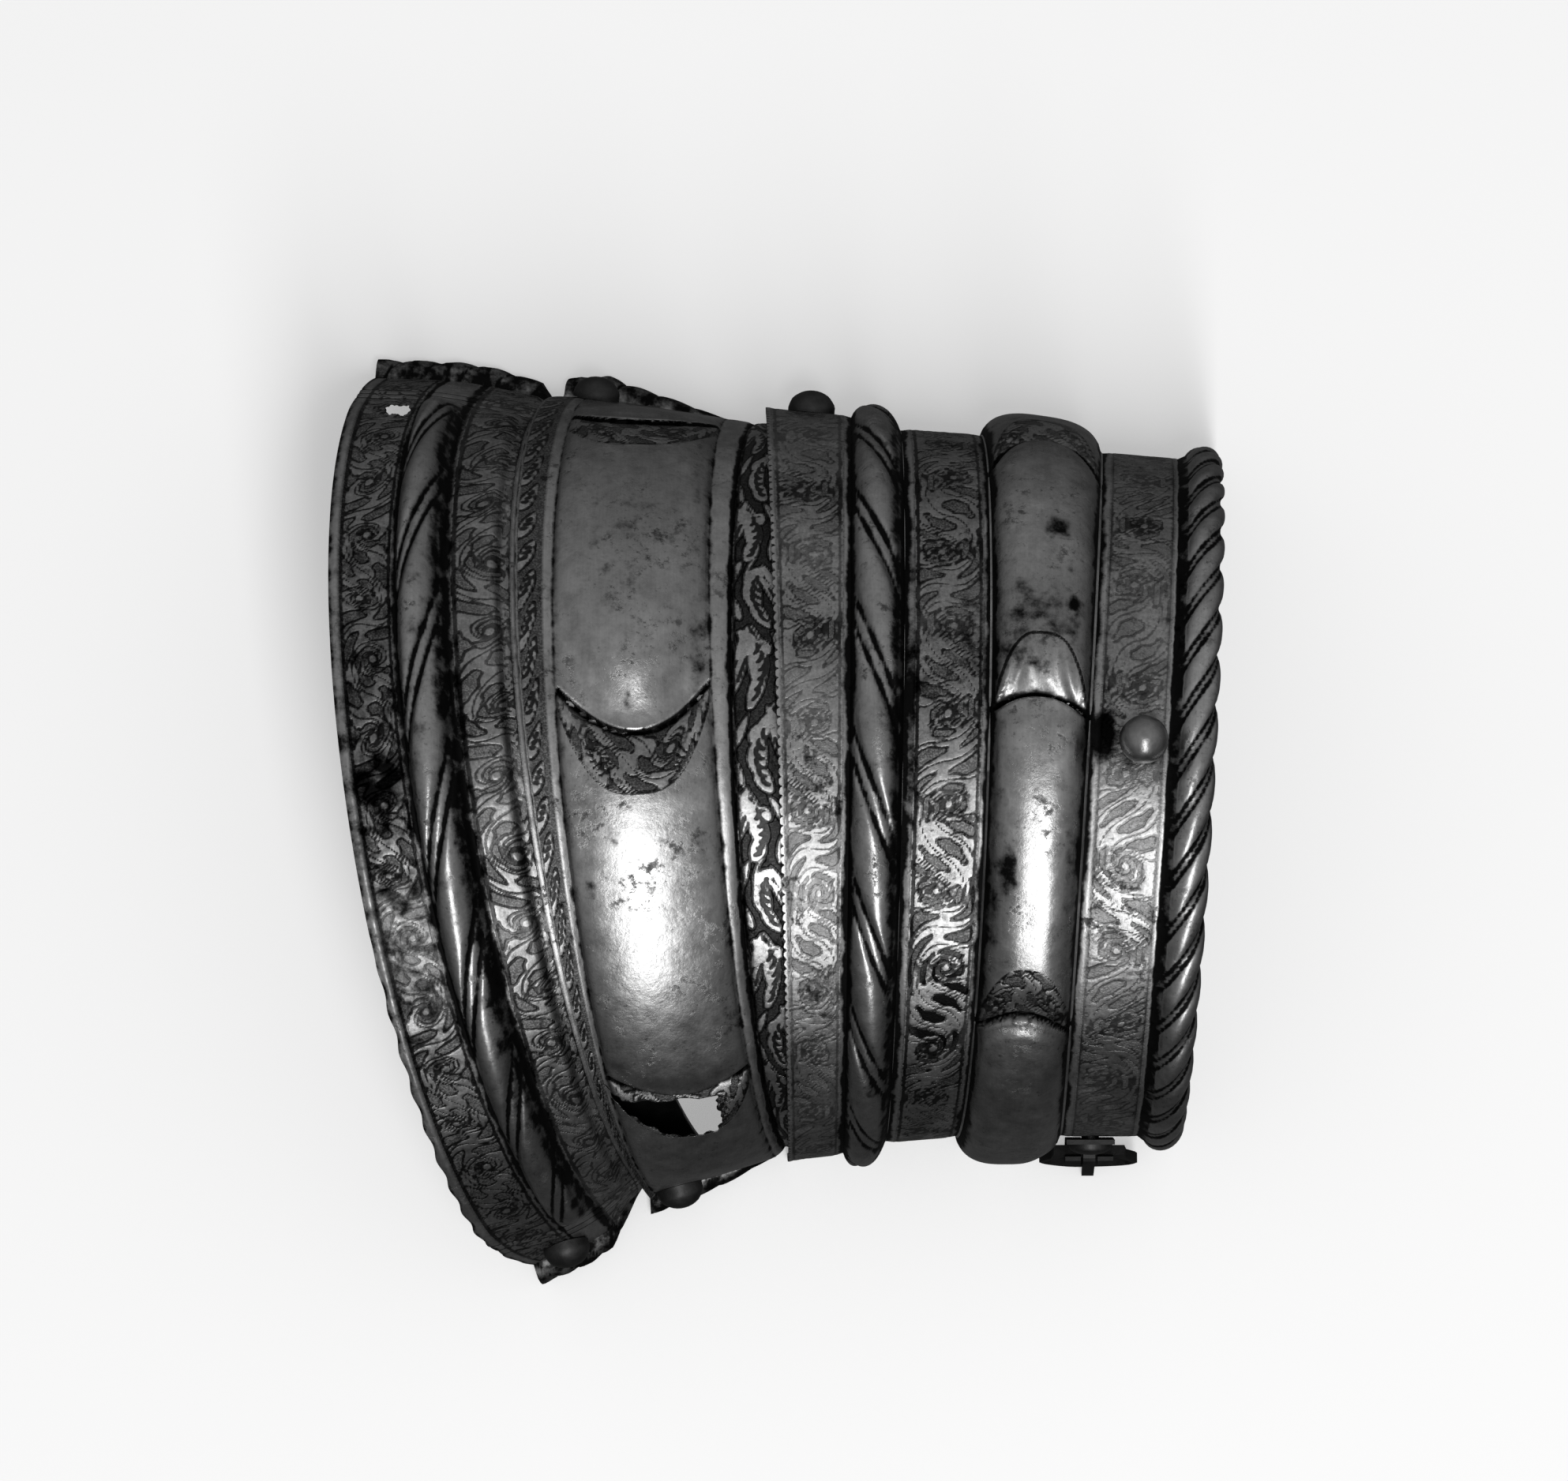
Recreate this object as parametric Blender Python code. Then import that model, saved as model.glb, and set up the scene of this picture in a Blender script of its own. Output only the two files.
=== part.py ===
"""Articulated arm defence of etched steel: three overlapping half-round plates.

A flared plate, a middle lame and a waisted cuff overlap in that order, the cuff
outermost, and turn on rivets at their long edges. The gutter that they form is
open at the back. It stands on its long edges, as it lies when it is put down.

Frame: +X runs along the arm to the narrow end, +Y across it, and +Z up from the
surface that the long edges stand on. All sizes here are in millimetres, and
MM turns them into Blender's metres.
"""
import math
from collections import namedtuple

import bmesh
import bpy
from mathutils import Matrix, Vector
from mathutils.bvhtree import BVHTree

MM = 0.001

# ------------------------------------------------------------ driving dimensions
SHEET = 1.0            # thickness of the beaten plates
GAP = 0.3              # clearance between pieces that touch
COLUMNS = 34           # steps round the arm between the long edges' beads
ROUND_SIDES = 16       # sides of a turned piece

# Ring lines: each row is one line that runs round the arm, half an ellipse with
# its crest up.
#   x            where it crosses the level of its centre
#   yaw, lean    how far x moves for each mm across and for each mm up
#   y, z         centre of the ellipse
#   width, rise  its half width, and its height above the centre
Ring = namedtuple("Ring", "x yaw lean y z width rise")
RINGS = {
    "flare_end":   Ring(-54.8, -0.154, -0.182, 0.1, -5.0, 75.0, 78.5),
    "flare_rope_a": Ring(-42.3, -0.163, -0.212, 1.5, -4.0, 73.0, 77.0),
    "flare_rope_b": Ring(-36.8, -0.158, -0.182, 2.5, -3.0, 70.8, 75.0),
    "flare_step":  Ring(-30.8, -0.138, -0.170, 3.8, 1.5, 66.8, 68.3),
    "flare_under": Ring(-28.2, -0.136, -0.166, 4.1, 2.0, 65.3, 67.5),
    "flare_last":  Ring(-16.5, -0.136, -0.203, 5.6, 4.0, 62.5, 65.4),
    "lame_end":    Ring(-28.5, -0.136, -0.166, 4.1, 3.0, 67.3, 69.0),
    "lame_puff_a": Ring(-25.6, -0.092, -0.142, 4.5, 4.0, 66.7, 67.3),
    "lame_puff_b": Ring(-4.5, -0.070, -0.094, 5.7, 7.5, 61.8, 61.7),
    "lame_line":   Ring(-1.5, -0.047, -0.101, 6.1, 8.5, 60.6, 60.2),
    "lame_under":  Ring(1.8, -0.030, 0.007, 6.2, 10.0, 60.4, 58.0),
    "lame_last":   Ring(9.6, -0.020, 0.003, 6.2, 11.5, 59.6, 55.5),
    "cuff_end":    Ring(-0.8, -0.030, 0.007, 6.3, 12.0, 62.6, 58.3),
    "cuff_rope_a": Ring(10.9, 0.011, -0.001, 6.2, 13.0, 61.6, 56.8),
    "cuff_rope_b": Ring(18.4, 0.021, 0.018, 6.1, 14.0, 59.5, 55.8),
    "cuff_puff_a": Ring(31.1, 0.035, 0.036, 6.1, 14.0, 58.5, 56.0),
    "cuff_puff_b": Ring(49.8, 0.060, -0.019, 4.7, 14.0, 57.0, 56.0),
    "cuff_waist":  Ring(64.0, 0.060, -0.013, 4.1, 14.0, 56.4, 56.0),
    "cuff_roll":   Ring(66.6, 0.060, -0.008, 4.0, 14.0, 56.8, 56.4),
}

# A profile goes over the outer face from left to right. Each row lies a share of
# the way from one ring line to the next.
#   lift    how far the sheet is raised there, the inside following
#   bead    share of the turned bead along the long edges
#   splay   how far the long edges are bent outwards
#   corner  how far the corner at the +Y long edge is rounded off, along the arm
#   sweep   how far the line swings to the left on its way down to the -Y edge, or,
#           where it is negative, to the right
Row = namedtuple("Row", "ring_a ring_b share lift bead splay corner sweep")
FLARED_PLATE = [
    Row("flare_end", "flare_rope_a", 0.00, 0.4, 1.0, 0.0, 0.0, -5.0),
    Row("flare_end", "flare_rope_a", 0.12, 0.7, 1.0, 0.0, 0.0, -4.5),
    Row("flare_end", "flare_rope_a", 0.22, 0.0, 1.0, 0.0, 0.0, -4.0),
    Row("flare_rope_a", "flare_rope_b", 0.0, 0.0, 1.0, 0.2, 0.0, 1.0),
    Row("flare_rope_a", "flare_rope_b", 0.2, 2.1, 1.0, 0.3, 0.0, 1.0),
    Row("flare_rope_a", "flare_rope_b", 0.5, 3.1, 1.0, 0.4, 0.0, 1.0),
    Row("flare_rope_a", "flare_rope_b", 0.8, 2.1, 1.0, 0.5, 0.0, 1.0),
    Row("flare_rope_b", "flare_step", 0.0, 0.0, 1.0, 0.6, 0.0, 2.0),
    Row("flare_rope_b", "flare_step", 0.5, 0.0, 1.0, 1.1, 0.0, 3.6),
    Row("flare_step", "flare_under", 0.0, 0.0, 0.7, 1.4, 0.0, 4.8),
    Row("flare_step", "flare_under", 1.0, 0.0, 0.0, 0.0, 0.0, 4.6),
    Row("flare_under", "flare_last", 0.5, 0.0, 0.0, 0.0, 0.0, 3.0),
    Row("flare_under", "flare_last", 1.0, 0.0, 0.0, 0.0, 0.0, 2.0),
]
MIDDLE_LAME = [
    Row("lame_end", "lame_puff_a", 0.0, 0.0, 0.8, 0.0, 3.0, 3.2),
    Row("lame_end", "lame_puff_a", 0.5, 0.0, 1.0, 0.0, 3.0, 2.6),
    Row("lame_end", "lame_puff_a", 1.0, 0.0, 1.0, 0.0, 3.0, 2.0),
    Row("lame_puff_a", "lame_puff_b", 0.10, 1.5, 0.9, 0.0, 2.0, 1.8),
    Row("lame_puff_a", "lame_puff_b", 0.25, 2.2, 0.8, 0.0, 0.5, 1.2),
    Row("lame_puff_a", "lame_puff_b", 0.50, 2.5, 0.6, 0.0, 0.0, 0.5),
    Row("lame_puff_a", "lame_puff_b", 0.75, 2.2, 0.4, 0.0, 0.0, 0.5),
    Row("lame_puff_a", "lame_puff_b", 0.92, 1.3, 0.1, 0.0, 0.0, 1.0),
    Row("lame_puff_b", "lame_line", 0.0, 0.0, 0.0, 0.0, 0.0, 1.4),
    Row("lame_line", "lame_under", 0.0, 0.0, 0.0, 0.0, 0.0, 1.2),
    Row("lame_under", "lame_last", 0.0, 0.0, 0.0, 0.0, 0.0, 0.0),
    Row("lame_under", "lame_last", 1.0, 0.0, 0.0, 0.0, 0.0, 0.0),
]
CUFF_PLATE = [
    Row("cuff_end", "cuff_rope_a", 0.0, 0.0, 0.0, 1.8, 1.5, 0.0),
    Row("cuff_end", "cuff_rope_a", 0.4, 0.0, 0.0, 1.0, 0.0, 0.0),
    Row("cuff_rope_a", "cuff_rope_b", 0.0, 0.0, 0.0, 0.0, 0.0, 0.0),
    Row("cuff_rope_a", "cuff_rope_b", 0.2, 2.1, 0.0, 0.0, 0.0, 0.0),
    Row("cuff_rope_a", "cuff_rope_b", 0.5, 3.2, 0.0, 0.0, 0.0, 0.0),
    Row("cuff_rope_a", "cuff_rope_b", 0.8, 2.1, 0.0, 0.0, 0.0, 0.0),
    Row("cuff_rope_b", "cuff_puff_a", 0.0, 0.0, 0.0, 0.0, 0.0, 0.0),
    Row("cuff_rope_b", "cuff_puff_a", 0.5, 0.0, 0.0, 0.0, 0.0, 0.0),
    Row("cuff_puff_a", "cuff_puff_b", 0.00, 0.0, 0.0, 0.0, 0.0, 0.0),
    Row("cuff_puff_a", "cuff_puff_b", 0.08, 1.6, 0.0, 0.0, 0.0, 0.0),
    Row("cuff_puff_a", "cuff_puff_b", 0.25, 3.6, 0.0, 0.0, 0.0, 0.0),
    Row("cuff_puff_a", "cuff_puff_b", 0.50, 4.6, 0.0, 0.0, 0.0, 0.0),
    Row("cuff_puff_a", "cuff_puff_b", 0.75, 3.6, 0.0, 0.0, 0.0, 0.0),
    Row("cuff_puff_a", "cuff_puff_b", 0.92, 1.6, 0.0, 0.0, 0.0, 0.0),
    Row("cuff_puff_b", "cuff_waist", 0.0, 0.0, 0.0, 0.0, 0.0, 0.0),
    Row("cuff_puff_b", "cuff_waist", 0.9, 0.0, 0.0, 0.0, 0.0, 0.0),
]

# What happens near a plate's two long edges. Shares go from the crest, 0, to a
# long edge, 1.
#   radius               of the turned bead along the edge
#   out_left, out_right  how far it stands out at the +Y edge and the -Y edge
#   fade_from, fade_to   shares between which the raised forms die away
Edge = namedtuple("Edge", "radius out_left out_right fade_from fade_to")
FLARED_EDGE = Edge(2.5, 3.0, 3.2, 0.74, 0.82)
LAME_EDGE = Edge(2.0, 4.0, 3.6, 0.72, 0.90)
CUFF_EDGE = Edge(2.0, 0.0, 0.0, 2.0, 3.0)

ROLL_RADIUS = 3.3      # roped roll round the narrow end
ROLL_SINK = 1.4        # how far its middle lies under the outer face
ROLL_ANGLES = (150, 112, 75, 38, 0, -38, -75, -112, -150, -187)
SPLAY_FROM = 0.80      # share of the way to a long edge where the splay starts
CORNER_REACH = 12.0    # a rounded corner's height above the long edge
SWEEP_REACH = 30.0     # height above the -Y edge where the lines start to swing
HALF_ROUND = 105.0     # about half of the way round the arm
BEAD_STEPS = (2.0, 1.7, 1.0, 0.4, 0.0)  # heights of the bead's lines, in its radius

# Articulation: where the two pivot axes cross the plates, from the +Y rivet to
# the -Y one. Each row is x, z.
PIVOTS = {
    "flare": ((-31.0, 8.8), (-17.1, 8.8)),
    "cuff": ((5.0, 12.0), (5.0, 12.0)),
}
FAR = 120.0            # start of a ray that looks for a plate's outer face

# Rivets: a domed head outside, a shank, and a burr hammered over inside.
HEAD_RADIUS = 4.0
HEAD_HEIGHT = 3.2
HEAD_UNDER = 0.97      # radius of a head's flat underside, as a share of the head's
SHANK_RADIUS = 1.5
BURR_RADIUS = 2.7
BURR_CREST = 0.8       # radius of a burr's hammered end, as a share of the burr's
BURR_HEIGHT = 0.9
HOLE_RADIUS = SHANK_RADIUS + GAP
SEAT_GAP = 0.5         # under a flat head or burr on a curved plate
FLARE_GRIP = 3.3       # between head and burr of a rivet through lame and flared plate
CORNER_GRIP = 1.5      # the same for the rivet through the flared plate alone
CUFF_GRIP = 3.0        # the same for the rivet through cuff and lame

# The ball-headed stud: x and y on the cuff's crest, then its turned sizes.
STUD_AT = (57.9, 13.0)
STUD_RADIUS = 3.95
STUD_REACH = 5.4       # from the plate up to the middle of the ball
STUD_NECK = 1.9        # radius of the neck
STUD_NECK_SPAN = (1.2, 3.6)   # its foot above the plate, its top under the ball's middle
STUD_COLLAR = (3.1, 1.0)      # radius of the collar, and its top above the plate

BUCKLE_RIVET_AT = (51.4, 14.5)     # x and z on the cuff's -Y side
CORNER_RIVET_AT = (-36.0, 11.0)    # x and z on the flared plate's -Y side
TORN_HOLE_AT = (-64.4, 68.4)       # x and y on the flared plate's +Y side
TORN_HOLE_RADIUS = 2.2

# The slash in the lame that rust has eaten through, seen from above: x, y.
RUST_HOLE = [
    (-29.0, -42.0), (-26.0, -45.0), (-19.5, -45.2), (-10.4, -44.2),
    (-10.6, -46.0), (-9.7, -48.0), (-10.4, -50.2), (-14.2, -50.9),
    (-18.3, -50.8), (-22.5, -48.9), (-26.0, -46.2),
]
RUST_HOLE_DEPTH = (18.0, 62.0)  # the heights that the hole's cutter spans

# The strap buckle: a frame on a hinge bar, a chape that holds the bar, a tongue.
BUCKLE_WIDTH = 18.0
BUCKLE_DEPTH = 8.0
BUCKLE_BAR = 1.7       # thickness of the frame, and of its hinge bar
BUCKLE_WINDOW = (14.6, 4.6)
BUCKLE_PINCH = 0.66    # width of the frame along its hinge bar, as a share of the whole
BUCKLE_PINCH_REACH = 3.6  # how far from the bar the frame is back at its whole width
BUCKLE_HANG = 72.0     # degrees below the level that the frame hangs
BUCKLE_SQUARE = 0.55   # power that squares off the frame's corners
BUCKLE_SCALLOPS = 5
SCALLOP_DEPTH = 0.35
BUCKLE_STEPS = 40
BUCKLE_HEAD = (3.6, 1.4)  # radius and height of the head of the buckle's rivet
CHAPE_WIDTH = 8.0
CHAPE_SHEET = 0.8
CHAPE_ABOVE = 3.8      # from the buckle rivet up to the chape's top edge
CHAPE_STANDOFF = 0.45  # between the cuff and the chape
KNUCKLE_BORE = 1.55    # inner radius of the knuckles and of the tongue's eye
KNUCKLE_OPEN = -250.0  # the angle where a knuckle's curl ends
HINGE_DROP = 6.2       # from the buckle rivet down to the hinge bar
TONGUE_WIDTH = 2.0
TONGUE_THICK = 1.0
TONGUE_REACH = 8.4     # from the hinge bar to the tongue's tip
TONGUE_CHAMFER = (1.0, 0.3, 0.2, 0.6)  # the tip's four bevels, from the lower face up
SLOT_GAP = 0.4         # beside the tongue, in the chape's slot
SLOT_REACH = 4.0       # how far the slot's cutter reaches from the hinge bar


# ------------------------------------------------------------ tools
def clear_scene():
    for obj in list(bpy.data.objects):
        bpy.data.objects.remove(obj, do_unlink=True)


def finish(name, colour, roughness, metallic):
    """A plain metal finish."""
    material = bpy.data.materials.new(name)
    material.use_nodes = True
    shader = material.node_tree.nodes["Principled BSDF"]
    shader.inputs["Base Color"].default_value = (*colour, 1.0)
    shader.inputs["Roughness"].default_value = roughness
    shader.inputs["Metallic"].default_value = metallic
    return material


def new_object(name, bm, material, smooth=40.0):
    """Put a bmesh in the scene as one closed piece, its faces pointing out."""
    bmesh.ops.recalc_face_normals(bm, faces=bm.faces)
    mesh = bpy.data.meshes.new(name)
    bm.to_mesh(mesh)
    bm.free()
    mesh.shade_smooth()
    mesh.set_sharp_from_angle(angle=math.radians(smooth))
    obj = bpy.data.objects.new(name, mesh)
    bpy.context.collection.objects.link(obj)
    if material is not None:
        mesh.materials.append(material)
    return obj


def boolean(obj, other, operation):
    """Cut, or join, another object with this one, and keep the other as a guide."""
    modifier = obj.modifiers.new(other.name, "BOOLEAN")
    modifier.operation = operation
    modifier.solver = "EXACT"
    modifier.object = other
    other.hide_render = True
    other.display_type = "WIRE"


def turned(bm, profile, sides=ROUND_SIDES):
    """A closed turned body about Z; the profile is (radius, z), its ends on the axis."""
    rings = []
    for radius, z in profile[1:-1]:
        angles = [math.tau * step / sides for step in range(sides)]
        rings.append([
            bm.verts.new((radius * MM * math.cos(a), radius * MM * math.sin(a), z * MM))
            for a in angles
        ])
    first = bm.verts.new((0.0, 0.0, profile[0][1] * MM))
    last = bm.verts.new((0.0, 0.0, profile[-1][1] * MM))
    for step in range(sides):
        after = (step + 1) % sides
        bm.faces.new((first, rings[0][after], rings[0][step]))
        bm.faces.new((last, rings[-1][step], rings[-1][after]))
        for low, high in zip(rings, rings[1:]):
            bm.faces.new((low[step], low[after], high[after], high[step]))


def extruded(bm, outline, start, end, axis="X"):
    """A prism with the given 2-D outline, from start to end along an axis."""
    def place(point, along):
        first, second = point
        if axis == "X":
            return (along * MM, first * MM, second * MM)
        return (first * MM, second * MM, along * MM)

    low = [bm.verts.new(place(point, start)) for point in outline]
    high = [bm.verts.new(place(point, end)) for point in outline]
    bm.faces.new(low)
    bm.faces.new(high)
    count = len(outline)
    for step in range(count):
        after = (step + 1) % count
        bm.faces.new((low[step], low[after], high[after], high[step]))


# ------------------------------------------------------------ plates
def ring_of(row):
    """The ring line of a row, a share of the way between two named ones."""
    pairs = zip(RINGS[row.ring_a], RINGS[row.ring_b])
    return Ring(*(a + (b - a) * row.share for a, b in pairs))


def columns(edge):
    """Places round the arm, from -1 at the -Y long edge to 1 at the +Y one."""
    near = [1.0 - share * edge.radius / HALF_ROUND for share in BEAD_STEPS]
    inner = near[0]
    middle = [inner * (2.0 * step / COLUMNS - 1.0) for step in range(1, COLUMNS)]
    return [-v for v in reversed(near)] + middle + near


def bead_lift(edge, side, height):
    """How far the bead stands out at a height above the cut edge."""
    out = edge.out_left if side > 0.0 else edge.out_right
    offset = height / edge.radius - 1.0
    return out * math.sqrt(max(0.0, 1.0 - offset * offset))


def ring_point(ring, lift, v):
    """A point on a ring line, raised by lift, that reaches z = 0 at v = -1 and 1."""
    rise = ring.rise + lift
    angle = v * math.acos(max(-1.0, min(1.0, -ring.z / rise)))
    across = (ring.width + lift) * math.sin(angle)
    up = rise * math.cos(angle)
    x = ring.x + ring.yaw * across + ring.lean * up
    return Vector((x, ring.y + across, ring.z + up))


def raised(row, edge, v):
    """The lift of a row at a place round the arm, which dies away near the edges."""
    share = (abs(v) - edge.fade_from) / (edge.fade_to - edge.fade_from)
    share = max(0.0, min(1.0, share))
    return row.lift * (1.0 - share * share * (3.0 - 2.0 * share))


def splay_at(row, v):
    """How far the long edges are bent outwards at a place round the arm."""
    near_edge = max(0.0, (abs(v) - SPLAY_FROM) / (1.0 - SPLAY_FROM))
    return row.splay * near_edge * near_edge


def outer_point(row, edge, v):
    """A point on the outer face of a plate."""
    point = ring_point(ring_of(row), raised(row, edge, v), v)
    out = splay_at(row, v)
    if abs(v) > SPLAY_FROM:
        out += row.bead * bead_lift(edge, v, point.z)
    point.y += math.copysign(out, v)
    point.x += edge_shift(row, v, point.z)
    return point


def inner_point(row, edge, v):
    """A point on the inner face, one sheet's thickness inside."""
    point = ring_point(ring_of(row), raised(row, edge, v) - SHEET, v)
    point.y += math.copysign(splay_at(row, v), v)
    point.x += edge_shift(row, v, point.z)
    return point


def edge_shift(row, v, height):
    """How far a line moves along the arm on its way down to a long edge."""
    if v > 0.0:
        below = max(0.0, 1.0 - height / CORNER_REACH)
        return row.corner * below * below
    below = max(0.0, 1.0 - height / SWEEP_REACH)
    return -row.sweep * below * below


def roll_point(angle, v):
    """A point on the roll that ends the cuff, at an angle round its section."""
    ring = RINGS["cuff_roll"]
    turn = math.radians(angle)
    lift = ROLL_RADIUS * math.sin(turn) - ROLL_SINK
    point = ring_point(ring, lift, v)
    point.x += ROLL_RADIUS * math.cos(turn)
    return point


def plate(name, profile, edge, material, roll=False):
    """A beaten plate: one closed loop of lines round the arm, capped at both ends."""
    places = columns(edge)
    lines = [[outer_point(row, edge, v) for v in places] for row in profile]
    if roll:
        lines += [[roll_point(angle, v) for v in places] for angle in ROLL_ANGLES]
    lines += [[inner_point(row, edge, v) for v in places] for row in reversed(profile)]
    bm = bmesh.new()
    grid = [[bm.verts.new(point * MM) for point in line] for line in lines]
    for line, following in zip(grid, grid[1:] + grid[:1]):
        for step in range(len(line) - 1):
            corners = (line[step], line[step + 1], following[step + 1], following[step])
            bm.faces.new(corners)
    bm.faces.new([line[0] for line in grid])
    bm.faces.new([line[-1] for line in reversed(grid)])
    return new_object(name, bm, material)


def face_at(obj, start, direction):
    """Where a ray first meets a plate, in metres, and the face's outward normal."""
    bm = bmesh.new()
    bm.from_mesh(obj.data)
    tree = BVHTree.FromBMesh(bm)
    bm.free()
    place, normal, _, _ = tree.ray_cast(Vector(start) * MM, Vector(direction))
    if normal.dot(Vector(direction)) > 0.0:
        normal = -normal
    return place, normal


def side_face(obj, x, z, side):
    """The outer face of a plate at its +Y side (side 1) or -Y side (side -1)."""
    return face_at(obj, (x, side * FAR, z), (0.0, -side, 0.0))


def stand_on(place, normal):
    """A frame whose Z is a face's normal and whose X runs along the arm."""
    along = Vector((1.0, 0.0, 0.0))
    across = normal.cross(along).normalized()
    along = across.cross(normal).normalized()
    turn = Matrix((along, across, normal)).transposed().to_4x4()
    return Matrix.Translation(place) @ turn


# ------------------------------------------------------------ rivets and stud
def shank(burr):
    """A rivet's shank and the burr on its inner end, as (radius, z)."""
    end = burr - BURR_HEIGHT
    return [
        (SHANK_RADIUS, SEAT_GAP), (SHANK_RADIUS, burr), (BURR_RADIUS, burr),
        (BURR_RADIUS * BURR_CREST, end), (0.0, end),
    ]


def rivet(name, place, normal, grip, material, head=HEAD_RADIUS, height=HEAD_HEIGHT):
    """A rivet whose head stands on an outer face; grip is the sheets' thickness."""
    dome = []
    for step in range(5):
        angle = math.radians(90.0 - 20.0 * step)
        dome.append((head * math.cos(angle), SEAT_GAP + height * math.sin(angle)))
    burr = -grip - SEAT_GAP
    profile = dome + [(head * HEAD_UNDER, SEAT_GAP)] + shank(burr)
    bm = bmesh.new()
    turned(bm, profile)
    obj = new_object(name, bm, material)
    obj.matrix_world = stand_on(place, normal)
    return obj


def ball_stud(name, place, normal, material):
    """The ball-headed stud on the cuff's crest that a strap buttons over."""
    ball = []
    for step in range(8):
        angle = math.radians(90.0 - 20.0 * step)
        ball.append((STUD_RADIUS * math.cos(angle), STUD_REACH + STUD_RADIUS * math.sin(angle)))
    foot, under = STUD_NECK_SPAN
    collar, top = STUD_COLLAR
    profile = ball + [
        (STUD_NECK, STUD_REACH - under), (STUD_NECK, foot), (collar, top), (collar, SEAT_GAP),
    ] + shank(-SHEET - SEAT_GAP)
    bm = bmesh.new()
    turned(bm, profile)
    obj = new_object(name, bm, material)
    obj.matrix_world = stand_on(place, normal)
    return obj


def drill(obj, name, place, normal, radius=HOLE_RADIUS, reach=6.0):
    """A round hole through a plate, along a face's normal."""
    bm = bmesh.new()
    turned(bm, [(0.0, -reach), (radius, -reach), (radius, reach), (0.0, reach)])
    cutter = new_object(name, bm, None)
    cutter.matrix_world = stand_on(place, normal)
    boolean(obj, cutter, "DIFFERENCE")


def rust_through(obj):
    """The ragged hole that rust has eaten in the lame's lower slash."""
    bm = bmesh.new()
    extruded(bm, RUST_HOLE, *RUST_HOLE_DEPTH, axis="Z")
    cutter = new_object("cut_rust_hole", bm, None)
    boolean(obj, cutter, "DIFFERENCE")


# ------------------------------------------------------------ buckle
def pinched(y):
    """The frame's width at a distance from its hinge bar, as a share of its widest."""
    share = max(0.0, min(1.0, (-y - BUCKLE_BAR / 2.0) / BUCKLE_PINCH_REACH))
    return BUCKLE_PINCH + (1.0 - BUCKLE_PINCH) * share * share * (3.0 - 2.0 * share)


def scalloped(angle):
    """The frame's outline: straight along the hinge bar, scalloped opposite it."""
    if math.sin(angle) >= 0.0:
        y = BUCKLE_BAR / 2.0
    else:
        scallop = SCALLOP_DEPTH * abs(math.cos(angle * BUCKLE_SCALLOPS / 2.0))
        squared = abs(math.sin(angle)) ** BUCKLE_SQUARE
        y = -(BUCKLE_DEPTH - BUCKLE_BAR / 2.0 - scallop) * squared
    return (BUCKLE_WIDTH / 2.0 * math.cos(angle) * pinched(y), y)


def buckle_frame(name, hinge, material):
    """The buckle's frame: its hinge bar lies on the object's own X axis."""
    wide, deep = BUCKLE_WINDOW
    outer = []
    inner = []
    for step in range(BUCKLE_STEPS):
        angle = math.tau * (step + 0.5) / BUCKLE_STEPS
        outer.append(scalloped(angle))
        reach = 1.0 / max(abs(math.cos(angle)), abs(math.sin(angle)))
        y = -BUCKLE_BAR / 2.0 - deep / 2.0 + deep / 2.0 * math.sin(angle) * reach
        inner.append((wide / 2.0 * math.cos(angle) * reach * pinched(y), y))
    half = BUCKLE_BAR / 2.0
    bm = bmesh.new()
    loops = [
        [bm.verts.new((x * MM, y * MM, z * MM)) for x, y in line]
        for line, z in ((outer, -half), (outer, half), (inner, half), (inner, -half))
    ]
    for loop, following in zip(loops, loops[1:] + loops[:1]):
        for step in range(BUCKLE_STEPS):
            after = (step + 1) % BUCKLE_STEPS
            bm.faces.new((loop[step], loop[after], following[after], following[step]))
    obj = new_object(name, bm, material)
    obj.matrix_world = hinge @ Matrix.Rotation(math.radians(BUCKLE_HANG), 4, "X")
    return obj


def arc(radius, start, end, steps):
    """Points of an arc about the hinge bar, as (y, z), from one angle to another."""
    angles = [math.radians(start + (end - start) * step / steps) for step in range(steps + 1)]
    return [(radius * math.cos(a), radius * math.sin(a)) for a in angles]


def buckle_chape(name, hinge, material):
    """The bent strip that is riveted to the cuff and curls round the hinge bar."""
    outer = KNUCKLE_BORE + CHAPE_SHEET
    top = HINGE_DROP + CHAPE_ABOVE
    outline = [(outer, top)] + arc(outer, 0.0, KNUCKLE_OPEN, 12)
    outline += arc(KNUCKLE_BORE, KNUCKLE_OPEN, 0.0, 12) + [(KNUCKLE_BORE, top)]
    bm = bmesh.new()
    extruded(bm, outline, -CHAPE_WIDTH / 2.0, CHAPE_WIDTH / 2.0)
    obj = new_object(name, bm, material)
    obj.matrix_world = hinge
    slot = TONGUE_WIDTH / 2.0 + SLOT_GAP
    reach = SLOT_REACH
    bm = bmesh.new()
    sides = [(-reach, -reach), (reach, -reach), (reach, outer + SLOT_GAP), (-reach, outer + SLOT_GAP)]
    extruded(bm, sides, -slot, slot)
    cutter = new_object("cut_tongue_slot", bm, None)
    cutter.matrix_world = hinge
    boolean(obj, cutter, "DIFFERENCE")
    return obj


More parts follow.
